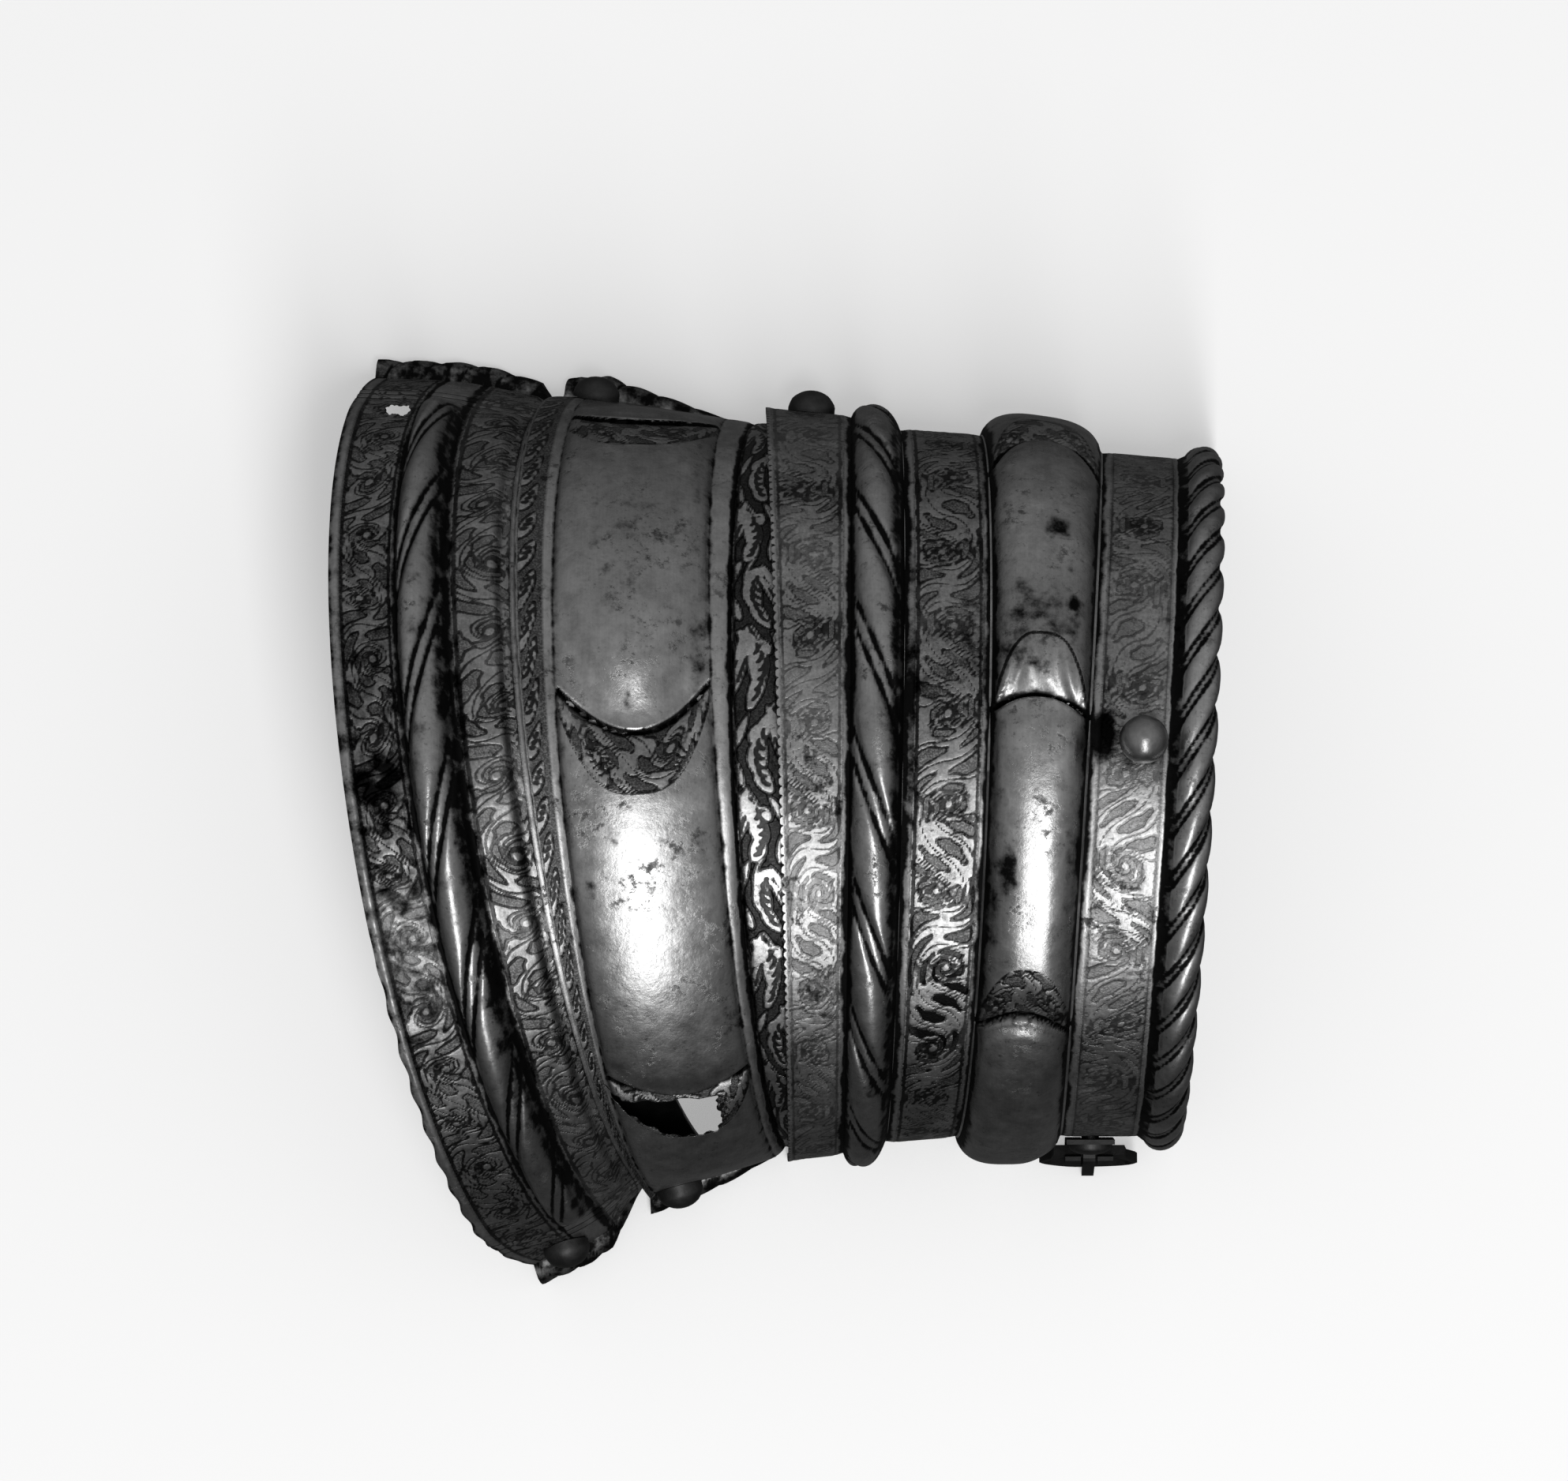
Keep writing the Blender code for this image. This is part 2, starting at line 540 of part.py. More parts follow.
def buckle_tongue(name, hinge, material):
    """The buckle's tongue: an eye round the hinge bar and an arm over the frame."""
    outer = KNUCKLE_BORE + CHAPE_SHEET
    under = BUCKLE_BAR / 2.0 + GAP
    over = under + TONGUE_THICK
    leave = math.degrees(math.asin(over / outer))
    join = math.degrees(math.asin(under / KNUCKLE_BORE))
    outline = arc(outer, 180.0 - leave, -90.0, 12) + arc(outer, -90.0, -150.0, 4)[1:]
    outline += arc(KNUCKLE_BORE, -150.0, -90.0, 4) + arc(KNUCKLE_BORE, -90.0, 180.0 - join, 12)[1:]
    under_back, under_up, over_down, over_back = TONGUE_CHAMFER
    outline += [
        (-TONGUE_REACH + under_back, under), (-TONGUE_REACH, under + under_up),
        (-TONGUE_REACH, over - over_down), (-TONGUE_REACH + over_back, over),
    ]
    bm = bmesh.new()
    extruded(bm, outline, -TONGUE_WIDTH / 2.0, TONGUE_WIDTH / 2.0)
    obj = new_object(name, bm, material)
    obj.matrix_world = hinge @ Matrix.Rotation(math.radians(BUCKLE_HANG), 4, "X")
    return obj


# ------------------------------------------------------------ assembly
def pivot(name, first, second):
    """An empty halfway between two rivets, on the axis that they share."""
    empty = bpy.data.objects.new(name, None)
    empty.empty_display_size = 0.01
    bpy.context.collection.objects.link(empty)
    empty.matrix_world = Matrix.Translation((first + second) / 2.0)
    return empty


def carry(parent, children):
    """Parent pieces where they stand."""
    for child in children:
        place = child.matrix_basis.copy()
        child.parent = parent
        child.matrix_parent_inverse = parent.matrix_basis.inverted()
        child.matrix_basis = place


def rivet_pair(names, key, outer_plate, inner_plate, grip, material):
    """The rivets on one pivot axis, and their holes through both plates."""
    rivets = []
    places = []
    for name, side, (x, z) in zip(names, (1.0, -1.0), PIVOTS[key]):
        place, normal = side_face(outer_plate, x, z, side)
        places.append(place)
        for obj in (outer_plate, inner_plate):
            drill(obj, f"cut_{name}_{obj.name}", place, normal)
        if name.startswith("rivet"):
            rivets.append(rivet(name, place, normal, grip, material))
    return rivets, places


def build():
    clear_scene()
    etched = finish("etched_steel", (0.36, 0.36, 0.37), 0.38, 1.0)
    iron = finish("dark_iron", (0.10, 0.10, 0.105), 0.45, 1.0)
    ball = finish("polished_iron", (0.30, 0.30, 0.31), 0.28, 1.0)
    black = finish("blackened_iron", (0.06, 0.06, 0.065), 0.55, 1.0)

    flared = plate("flared_plate", FLARED_PLATE, FLARED_EDGE, etched)
    lame = plate("middle_lame", MIDDLE_LAME, LAME_EDGE, etched)
    cuff = plate("cuff_plate", CUFF_PLATE, CUFF_EDGE, etched, roll=True)
    rust_through(lame)

    flare_rivets, flare_places = rivet_pair(
        ("rivet_flare_left", "rivet_flare_right"), "flare", lame, flared, FLARE_GRIP, iron)
    cuff_rivets, cuff_places = rivet_pair(
        ("rivet_cuff_left", "lost_cuff_rivet"), "cuff", cuff, lame, CUFF_GRIP, iron)

    place, normal = side_face(flared, *CORNER_RIVET_AT, -1.0)
    drill(flared, "cut_rivet_corner", place, normal)
    corner = rivet("rivet_corner", place, normal, CORNER_GRIP, iron)
    place, normal = face_at(flared, (*TORN_HOLE_AT, FAR), (0.0, 0.0, -1.0))
    drill(flared, "cut_torn_hole", place, normal, TORN_HOLE_RADIUS)

    place, normal = face_at(cuff, (*STUD_AT, FAR), (0.0, 0.0, -1.0))
    drill(cuff, "cut_ball_stud", place, normal)
    stud = ball_stud("ball_stud", place, normal, ball)

    place, _ = side_face(cuff, *BUCKLE_RIVET_AT, -1.0)
    outwards = Vector((0.0, -1.0, 0.0))
    drill(cuff, "cut_buckle_rivet", place, outwards)
    standoff = CHAPE_STANDOFF + CHAPE_SHEET
    seat = place + outwards * standoff * MM
    buckle_rivet = rivet("buckle_rivet", seat, outwards, SHEET + standoff, iron, *BUCKLE_HEAD)
    bar = place + Vector((0.0, -standoff - KNUCKLE_BORE, -HINGE_DROP)) * MM
    hinge = Matrix.Translation(bar)
    chape = buckle_chape("buckle_chape", hinge, black)
    drill(chape, "cut_chape_rivet", place, outwards)
    frame = buckle_frame("buckle_frame", hinge, black)
    tongue = buckle_tongue("buckle_tongue", hinge, black)

    flare_pivot = pivot("flare_pivot", *flare_places)
    cuff_pivot = pivot("cuff_pivot", *cuff_places)
    carry(flare_pivot, [flared, corner])
    carry(cuff_pivot, [cuff, stud, buckle_rivet, chape, frame] + cuff_rivets)
    carry(lame, flare_rivets)
    carry(frame, [tongue])


if __name__ == "__main__":
    build()
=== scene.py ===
# %% [markdown]
# # An etched arm defence in three plates
# The object is a piece of armour for the arm, made in the puffed and slashed
# fashion. Three half-round plates of thin steel overlap: a flared plate, a narrow
# middle lame and a waisted cuff on top. They turn on rivets at their long edges.
# The smith has raised two roped ridges and two rows of puffs, has turned the end
# into a roped roll, and has etched the flat bands between them with foliage.
#
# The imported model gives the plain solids. This lesson builds the fine surface over
# them: rope strands, slashes, filed edges, etching and the old dark patina.

import math
from collections import namedtuple

import bmesh
import bpy
import numpy as np
from mathutils import Matrix, Vector
from mathutils.bvhtree import BVHTree


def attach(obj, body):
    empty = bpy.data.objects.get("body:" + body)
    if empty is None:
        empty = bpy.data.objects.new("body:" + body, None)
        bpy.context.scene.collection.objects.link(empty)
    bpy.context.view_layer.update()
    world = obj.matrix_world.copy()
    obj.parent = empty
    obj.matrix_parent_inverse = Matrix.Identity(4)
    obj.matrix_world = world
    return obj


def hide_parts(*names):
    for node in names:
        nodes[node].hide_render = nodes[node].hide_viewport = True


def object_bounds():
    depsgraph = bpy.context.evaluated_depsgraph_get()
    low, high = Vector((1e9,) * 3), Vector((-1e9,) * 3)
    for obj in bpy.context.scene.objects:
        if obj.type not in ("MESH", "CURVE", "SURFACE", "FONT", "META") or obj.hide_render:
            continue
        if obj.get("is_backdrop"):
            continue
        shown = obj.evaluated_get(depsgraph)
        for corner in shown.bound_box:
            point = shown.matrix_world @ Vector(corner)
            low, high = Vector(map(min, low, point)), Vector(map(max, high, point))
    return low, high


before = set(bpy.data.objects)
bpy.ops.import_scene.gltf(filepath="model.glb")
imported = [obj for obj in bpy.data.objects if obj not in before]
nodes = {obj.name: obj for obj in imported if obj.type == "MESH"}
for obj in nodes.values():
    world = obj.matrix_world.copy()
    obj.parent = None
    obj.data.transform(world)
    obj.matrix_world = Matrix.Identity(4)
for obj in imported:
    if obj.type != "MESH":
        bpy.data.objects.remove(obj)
cad_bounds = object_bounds()
MM = 0.001

# %% [markdown]
# ## Ring lines
# Each plate is bent round the arm. A ring line is one line round the arm, half of an
# ellipse with its crest up. Ring lines lie where the real plate changes: at its ends,
# and on both sides of a ridge or a puff. A *station* counts along a plate's rings:
# station 1.5 lies halfway from its second ring line to its third.
#
# A lathe-like tool such as Screw can't make this, because every ring leans and
# differs. So the surface is a formula, worked out for a whole grid at a time.

# %% Ring lines of the three plates
# x where the line crosses the level of its centre, yaw and lean for how far x moves
# for each mm across and up, y and z of the centre, half width, height above it: in mm
Ring = namedtuple("Ring", "x yaw lean y z width rise")
FLARED_RINGS = [
    Ring(-54.8, -0.154, -0.182, 0.1, -5.0, 75.0, 78.5),   # wide end
    Ring(-42.3, -0.163, -0.212, 1.5, -4.0, 73.0, 77.0),   # roped ridge, from
    Ring(-36.8, -0.158, -0.182, 2.5, -3.0, 70.8, 75.0),   # roped ridge, to
    Ring(-30.8, -0.138, -0.170, 3.8, 1.5, 66.8, 68.3),    # step in front of the lame
    Ring(-28.2, -0.136, -0.166, 4.1, 2.0, 65.3, 67.5),    # under the lame
    Ring(-16.5, -0.136, -0.203, 5.6, 4.0, 62.5, 65.4),    # hidden end
]
LAME_RINGS = [
    Ring(-28.5, -0.136, -0.166, 4.1, 3.0, 67.3, 69.0),    # end over the flared plate
    Ring(-25.6, -0.092, -0.142, 4.5, 4.0, 66.7, 67.3),    # puff, from
    Ring(-4.5, -0.070, -0.094, 5.7, 7.5, 61.8, 61.7),     # puff, to
    Ring(-1.5, -0.047, -0.101, 6.1, 8.5, 60.6, 60.2),     # line beside the leaf band
    Ring(1.8, -0.030, 0.007, 6.2, 10.0, 60.4, 58.0),      # under the cuff
    Ring(9.6, -0.020, 0.003, 6.2, 11.5, 59.6, 55.5),      # hidden end
]
CUFF_RINGS = [
    Ring(-0.8, -0.030, 0.007, 6.3, 12.0, 62.6, 58.3),     # filed end over the lame
    Ring(10.9, 0.011, -0.001, 6.2, 13.0, 61.6, 56.8),     # roped ridge, from
    Ring(18.4, 0.021, 0.018, 6.1, 14.0, 59.5, 55.8),      # roped ridge, to
    Ring(31.1, 0.035, 0.036, 6.1, 14.0, 58.5, 56.0),      # puff, from
    Ring(49.8, 0.060, -0.019, 4.7, 14.0, 57.0, 56.0),     # puff, to
    Ring(64.0, 0.060, -0.013, 4.1, 14.0, 56.4, 56.0),     # waist, up to the roll
]
ROLL_RING = Ring(66.6, 0.060, -0.008, 4.0, 14.0, 56.8, 56.4)
SHEET = 1.0   # thickness of the beaten steel


def rings_at(rings, stations):
    """The ring lines at the given stations, one row of seven numbers each."""
    table = np.array(rings)
    counted = np.arange(len(rings))
    return np.stack([np.interp(stations, counted, column) for column in table.T], axis=1)


def on_rings(rings, lift, around):
    """Points on ring lines raised by lift. around runs from -1 at the -Y long edge
    to 1 at the +Y one, and the lines end at z = 0."""
    x, yaw, lean, y, z, width, rise = rings.T[:, :, None]
    top = rise + lift
    angle = around * np.arccos(np.clip(-z / top, -1.0, 1.0))
    across = (width + lift) * np.sin(angle)
    up = top * np.cos(angle)
    return np.stack([x + yaw * across + lean * up, y + across, z + up], axis=-1)


print("rings:", len(FLARED_RINGS) + len(LAME_RINGS) + len(CUFF_RINGS) + 1)

# %% [markdown]
# ## Long edges
# The long edges of the flared plate and of the lame are turned over into a bead.
# Towards a corner the edge is bent out a little, and a line that runs round the arm
# swings along it. These are the same few numbers as in the solid plates. A bead
# could be a round curve that is joined on, but bending the plate's own points leaves
# no seam.

# %% Hems along the long edges
# station, how full the bead is from 0 to 1, and in mm how far the edge is splayed out,
# a corner turned in at the +Y edge, and a line swept along at the -Y edge
Hem = namedtuple("Hem", "station bead splay corner sweep")
FLARED_HEMS = [
    Hem(0.0, 1.0, 0.0, 0.0, -5.0), Hem(0.22, 1.0, 0.0, 0.0, -4.0), Hem(1.0, 1.0, 0.2, 0.0, 1.0),
    Hem(2.0, 1.0, 0.6, 0.0, 2.0),
    Hem(3.0, 0.7, 1.4, 0.0, 4.8), Hem(3.9, 0.0, 0.0, 0.0, 4.6), Hem(5.0, 0.0, 0.0, 0.0, 2.0),
]
LAME_HEMS = [
    Hem(0.0, 0.8, 0.0, 3.0, 3.2), Hem(1.0, 1.0, 0.0, 3.0, 2.0), Hem(1.25, 0.8, 0.0, 0.5, 1.2),
    Hem(1.5, 0.6, 0.0, 0.0, 0.5), Hem(1.92, 0.1, 0.0, 0.0, 1.0), Hem(2.0, 0.0, 0.0, 0.0, 1.4),
    Hem(3.0, 0.0, 0.0, 0.0, 1.2), Hem(4.0, 0.0, 0.0, 0.0, 0.0), Hem(5.0, 0.0, 0.0, 0.0, 0.0),
]
CUFF_HEMS = [
    Hem(0.0, 0.0, 1.8, 1.5, 0.0), Hem(0.4, 0.0, 1.0, 0.0, 0.0), Hem(1.0, 0.0, 0.0, 0.0, 0.0),
    Hem(5.0, 0.0, 0.0, 0.0, 0.0),
]
# radius of the bead, how far it stands out at the +Y and -Y edge, and the shares of
# the way to the edge between which ridges and puffs die away
Edge = namedtuple("Edge", "radius out_left out_right fade_from fade_to")
FLARED_EDGE = Edge(2.5, 3.0, 3.2, 0.74, 0.82)
LAME_EDGE = Edge(2.0, 4.0, 3.6, 0.72, 0.90)
CUFF_EDGE = Edge(2.0, 0.0, 0.0, 2.0, 3.0)
SPLAY_FROM = 0.80     # share of the way to the edge where the splay starts
CORNER_REACH = 12.0   # height in mm below which a corner turns in
SWEEP_REACH = 30.0    # height in mm below which a line swings along
BEAD_LINES = (0.0, 0.12, 0.3, 0.5, 0.75, 1.0, 1.25, 1.5, 1.7, 1.88, 2.0)   # in bead radii
HALF_ROUND = 105.0    # about how many mm a plate measures from its crest to an edge
CREST_CROWD = 0.2     # how much closer together columns stand over the crest


def smooth(low, high, value):
    """0 below low, 1 above high, and a soft step between them."""
    share = np.clip((value - low) / (high - low), 0.0, 1.0)
    return share * share * (3.0 - 2.0 * share)


def columns(edge, count):
    """Places round the arm, closer together over the crest and at the beads."""
    near = [1.0 - share * edge.radius / HALF_ROUND for share in BEAD_LINES]
    even = np.linspace(-1.0, 1.0, count)[1:-1]
    spread = near[-1] * ((1.0 - CREST_CROWD) * even + CREST_CROWD * even ** 3)
    return np.concatenate([-np.array(near), spread, near[::-1]])


def hemmed(points, stations, around, hems, edge, lobes):
    """Bend the long edges of a plate's points: bead, splay, corner and sweep."""
    table = np.array(hems).T
    bead, splay, corner, sweep = [
        np.interp(stations, table[0], column)[:, None] for column in table[1:]]
    side = np.sign(around)
    height = points[..., 2]
    near = np.clip((np.abs(around) - SPLAY_FROM) / (1.0 - SPLAY_FROM), 0.0, 1.0)
    reach = np.where(side > 0, edge.out_left, edge.out_right)
    round_off = np.sqrt(np.clip(1.0 - (height / edge.radius - 1.0) ** 2, 0.0, 1.0))
    out = splay * near ** 2 + bead * lobes * reach * round_off * (near > 0)
    points[..., 1] += side * out
    turned_in = np.clip(1.0 - height / CORNER_REACH, 0.0, 1.0) ** 2
    swept = np.clip(1.0 - height / SWEEP_REACH, 0.0, 1.0) ** 2
    points[..., 0] += np.where(side > 0, corner * turned_in, -sweep * swept)
    return points


print("columns round a plate, for example:", len(columns(FLARED_EDGE, 681)))

# %% [markdown]
# ## A plate's grid
# One grid of points carries everything that the finish needs. For each point it
# knows the station, the way along the ring in mm from the crest, and what lies there:
# etched leaf, filled ground, dirt and painted shade in a crease, or a polished puff.
# Those are kept as attributes, which the material reads. They are in real mm, so that
# lines come out at the width of a needle's stroke and stay crisp between the points.
# An image could hold them too, but it would need a map of each plate laid flat.

# %% Grid of a plate
# the mark that darkens the steel holds both real dirt and painted shade
MARKS = ("leaf", "line", "band", "fill", "dirt_and_shade", "polish", "wear")
FAR_AWAY = 9.0   # distance in mm that stands for no ornament near


class PlateGrid:
    """Rows of stations, columns round the arm, and what lies at each point."""

    def __init__(self, rings, hems, edge, stations, count):
        self.hems = hems
        self.edge = edge
        self.stations = np.array(stations)
        self.around = columns(edge, count)
        self.table = rings_at(rings, self.stations)
        shape = (len(self.stations), len(self.around))
        flat = on_rings(self.table, np.zeros(shape), self.around)
        steps = np.linalg.norm(np.diff(flat, axis=1), axis=2)
        along = np.concatenate([np.zeros((shape[0], 1)), np.cumsum(steps, axis=1)], axis=1)
        crest = np.argmin(np.abs(self.around))
        self.along = along - along[:, [crest]]
        self.station = np.repeat(self.stations[:, None], shape[1], axis=1)
        self.share = np.repeat(np.abs(self.around)[None, :], shape[0], axis=0)
        self.form = np.zeros(shape)      # beaten relief, which the inside follows
        self.relief = np.zeros(shape)    # filed and etched relief on the outside only
        self.shift = np.zeros(shape)     # filing along the arm
        self.lobes = np.ones(shape)      # roping of the beads
        self.marks = {name: np.zeros(shape) for name in MARKS}
        self.marks["leaf"] += FAR_AWAY
        self.marks["line"] += FAR_AWAY

    def points(self, lift):
        """Points of the outer face, or of the inner one for a lift of -SHEET."""
        outer = lift == 0.0
        raised = self.form + self.relief if outer else self.form + lift
        made = on_rings(self.table, raised, self.around)
        lobes = self.lobes if outer else 0.0
        made = hemmed(made, self.stations, self.around, self.hems, self.edge, lobes)
        made[..., 0] += self.shift
        return made


def stations_of(*runs):
    """Stations from runs of (from, to, steps), each run ending where the next starts."""
    parts = [np.linspace(start, end, steps, endpoint=False) for start, end, steps in runs]
    return np.concatenate(parts + [[runs[-1][1]]])


print("marks kept for the finish:", ", ".join(MARKS))

# %% [markdown]
# ## Ornament for the etched bands
# The etcher drew foliage with a brush in acid-proof varnish: broad scalloped leaves,
# stems and curls stand at the old surface, and the acid has eaten the ground around
# them. Thin lines are cut round the leaves and as veins in them.
#
# The pattern could be painted as an image, but a drawing in numbers keeps its edges
# sharp at any size. A stroke is a line that bends steadily and swells like a brush
# stroke. Strokes that touch grow into one leaf, and they repeat along a tile. Each
# point of a tile keeps two distances: to the edge of the leaves, below zero inside
# them, and to the nearest cut line. A distance blends well between points, where a
# black and white pattern would break up. Strokes are measured in half widths of the
# band.

# %% Brush strokes
# kind, where it starts along and across, which way it heads and how far it bends in
# degrees, its length and its half width
Stroke = namedtuple("Stroke", "shape along across heading bend reach girth")
TILE_STEP = 0.12   # mm between the samples of a tile
CURL_POWER = 1.35  # above 1, a curl bends ever faster towards its tip
KNOB_FROM = 0.88   # share of a curl's way after which it swells into a knob
LOBES = 3.0        # lobes on each side of a lobed leaf


def stroke_path(stroke, steps=26):
    """Points along a stroke, and how far along it each one lies, from 0 to 1."""
    part = np.linspace(0.0, 1.0, steps)
    middle = (part[1:] + part[:-1]) / 2.0
    power = CURL_POWER if stroke.shape == "curl" else 1.0
    turn = np.radians(stroke.heading + stroke.bend * middle ** power)
    step = stroke.reach / (steps - 1)
    along = stroke.along + np.concatenate([[0.0], np.cumsum(np.cos(turn)) * step])
    across = stroke.across + np.concatenate([[0.0], np.cumsum(np.sin(turn)) * step])
    return along, across, part


def stroke_girth(stroke, part):
    """Half the width of a stroke along its way."""
    if stroke.shape == "stem":
        return stroke.girth * (1.0 - 0.4 * part)
    if stroke.shape == "curl":
        knob = 1.6 * np.clip((part - KNOB_FROM) / (1.0 - KNOB_FROM), 0.0, 1.0)
        return stroke.girth * (1.0 - 0.5 * part + knob)
    if stroke.shape == "vein":
        return stroke.girth * np.sin(math.pi * (0.05 + 0.95 * part)) ** 0.5
    if stroke.shape == "lobed":
        lobes = 0.66 + 0.34 * np.abs(np.sin(math.pi * LOBES * part))
        return 2.1 * stroke.girth * (part * (1.0 - part)) ** 0.45 * lobes
    return 2.25 * stroke.girth * part ** 0.55 * (1.0 - part) ** 0.75


def to_stroke(stroke, along, across, period, half):
    """Distance in mm from each point to a stroke's edge, on a tile that repeats."""
    xs, ys, part = stroke_path(stroke)
    girth = stroke_girth(stroke, part) * half
    nearest = np.full(along.shape, FAR_AWAY)
    margin = girth.max() + 1.0
    for shift in (-period, 0.0, period):
        x = (xs + shift) * half
        y = ys * half
        rows = np.flatnonzero((along[:, 0] > x.min() - margin) & (along[:, 0] < x.max() + margin))
        if not len(rows):
            continue
        near = slice(rows[0], rows[-1] + 1)
        for a in range(len(part) - 1):
            b = a + 1
            run, rise = x[b] - x[a], y[b] - y[a]
            right, up = along[near] - x[a], across[near] - y[a]
            share = np.clip((right * run + up * rise) / (run ** 2 + rise ** 2), 0.0, 1.0)
            gap = np.hypot(right - share * run, up - share * rise)
            gap -= girth[a] + (girth[b] - girth[a]) * share
            nearest[near] = np.minimum(nearest[near], gap)
    return nearest


sample = Stroke("lobed", 0.0, 0.0, 0, 90, 2.0, 0.3)
tip = stroke_path(sample)
print(f"a stroke of 2.0 that bends by 90 degrees ends at {tip[0][-1]:.2f}, {tip[1][-1]:.2f}")

# %% Painting a tile
# length and half width in mm, distances to the leaves' edges and to the cut lines
Tile = namedtuple("Tile", "period half leaf line")
OUTLINE_GAP = 0.04   # mm added beside a leaf's edge, so its line is finer than a vein


def tile_samples(period, half):
    """Places along and across a tile, in mm."""
    count = int(round(period / TILE_STEP))
    return np.meshgrid(
        (np.arange(count) + 0.5) * period / count,
        np.linspace(-half, half, int(round(2.0 * half / TILE_STEP)) + 1), indexing="ij")


def paint_tile(strokes, period, half):
    """A tile of strokes: its leaves grow together, and its veins are cut into them."""
    along, across = tile_samples(period * half, half)
    leaf = np.full(along.shape, FAR_AWAY)
    vein = np.full(along.shape, FAR_AWAY)
    for stroke in strokes:
        gap = to_stroke(stroke, along, across, period, half)
        if stroke.shape == "vein":
            vein = np.minimum(vein, np.maximum(gap, 0.0))
        else:
            leaf = np.minimum(leaf, gap)
    return Tile(period * half, half, leaf, np.minimum(np.abs(leaf) + OUTLINE_GAP, vein))


def drawn_again(strokes, period, times, seed):
    """The same drawing over and over along the band, every other time mirrored.
    Each time it slips and tips a little, and every stroke strays."""
    chance = np.random.default_rng(seed)
    drawn = []
    for turn in range(times):
        side = 1.0 if turn % 2 == 0 else -1.0
        slip, tip = chance.normal(0.0, 0.06), chance.normal(0.0, 5.0)
        for stroke in strokes:
            stray = chance.normal(0.0, 1.0, 3)
            drawn.append(stroke._replace(
                along=stroke.along + turn * period + slip,
                across=side * (stroke.across + 0.015 * stray[0]),
                heading=side * (stroke.heading + tip + 2.0 * stray[1]),
                bend=side * stroke.bend, reach=stroke.reach * (1.0 + 0.05 * stray[2])))
    return drawn


# %% The brush drawings: wavy blade and leaf row
BLADE_PERIOD = 3.0
BLADE = [
    Stroke("stem", 0.00, -0.30, 38, -76, 3.20, 0.13),
    Stroke("lobed", -0.10, -0.45, 42, -84, 3.20, 0.34),
    Stroke("leaf", 0.60, -0.95, 14, 20, 1.90, 0.24),
    Stroke("leaf", 1.70, -0.85, 30, -10, 1.40, 0.22),
    Stroke("leaf", 0.10, 0.60, 16, 0, 1.30, 0.20),
    Stroke("leaf", 1.70, 0.85, -10, -20, 1.30, 0.18),
    Stroke("curl", 1.90, 0.30, 20, -330, 1.30, 0.12),
    Stroke("vein", 0.20, -0.30, 75, -80, 0.45, 0.022),
    Stroke("vein", 0.52, -0.16, 75, -90, 0.50, 0.026),
    Stroke("vein", 0.84, -0.08, 75, -90, 0.55, 0.028),
    Stroke("vein", 1.16, -0.06, 75, -90, 0.55, 0.028),
    Stroke("vein", 1.48, -0.10, 70, -90, 0.50, 0.026),
    Stroke("vein", 1.80, -0.20, 60, -90, 0.45, 0.022),
    Stroke("vein", 1.00, -0.80, 20, 10, 0.80, 0.012),
]
LEAF_ROW_PERIOD = 3.0
LEAF_ROW = [
    Stroke("leaf", 0.00, -0.90, 27, -12, 3.60, 0.50),
    Stroke("vein", 1.00, -0.62, 66, -40, 0.60, 0.060),
    Stroke("vein", 1.60, -0.36, 62, -40, 0.60, 0.060),
    Stroke("vein", 2.20, -0.12, 58, -40, 0.50, 0.060),
]
BLADE_TIMES, BLADE_SEED = 4, 5
blade_tile = paint_tile(drawn_again(BLADE, BLADE_PERIOD, BLADE_TIMES, BLADE_SEED),
                        BLADE_TIMES * BLADE_PERIOD, 4.4)
leaf_row_tile = paint_tile(LEAF_ROW, LEAF_ROW_PERIOD, 2.2)
print("strokes:", len(BLADE), "in the blade and", len(LEAF_ROW), "in the leaf row")

# %% [markdown]
# ## Running scroll
# The broad bands carry a running scroll: a stem swings from side to side and rolls up
# round an eye in each bend, with slender leaves along it. Drawing every leaf would be
# long work. Water flows just so past a row of whirls that turn left and right by turns,
# and that flow has a short formula in complex numbers: its two parts grow with the
# distance from an eye and with the turn round it. Stripes of a mix of the two are
# spirals that pass from one eye to the next. A second set of stripes breaks them up
# into leaves, and a third, finer one gives the leaves their lobes.

# %% Running scroll
# half width of the band, mm from eye to eye, pairs of eyes in a tile, stripes of the
# stems, how far they bend on at the sides, stripes that break them up, stripes of the
# lobes, how much is leaf, and how deep the lobes are
Scroll = namedtuple("Scroll", "half spacing pairs stems outer breaks lobes cover lobing")
EYE = 0.7          # mm, radius of the knob in a whirl
EYE_RING = 0.1     # mm outside the knob where a line is cut round it
CALM = 4.2         # mm from an eye to where the leaves come in
EYE_SWAY = 0.12    # how far the eyes stand off the middle, in half widths
HAND = 0.5         # mm that the hand strays from the formula
LEAF_SLOPE = 0.35  # flatter slopes are taken as this one in a leaf's distance
RIB_SLOPE = 0.3    # and as this one in a rib's
DEEPEST = 3.0      # mm, a scroll's distances stay within this


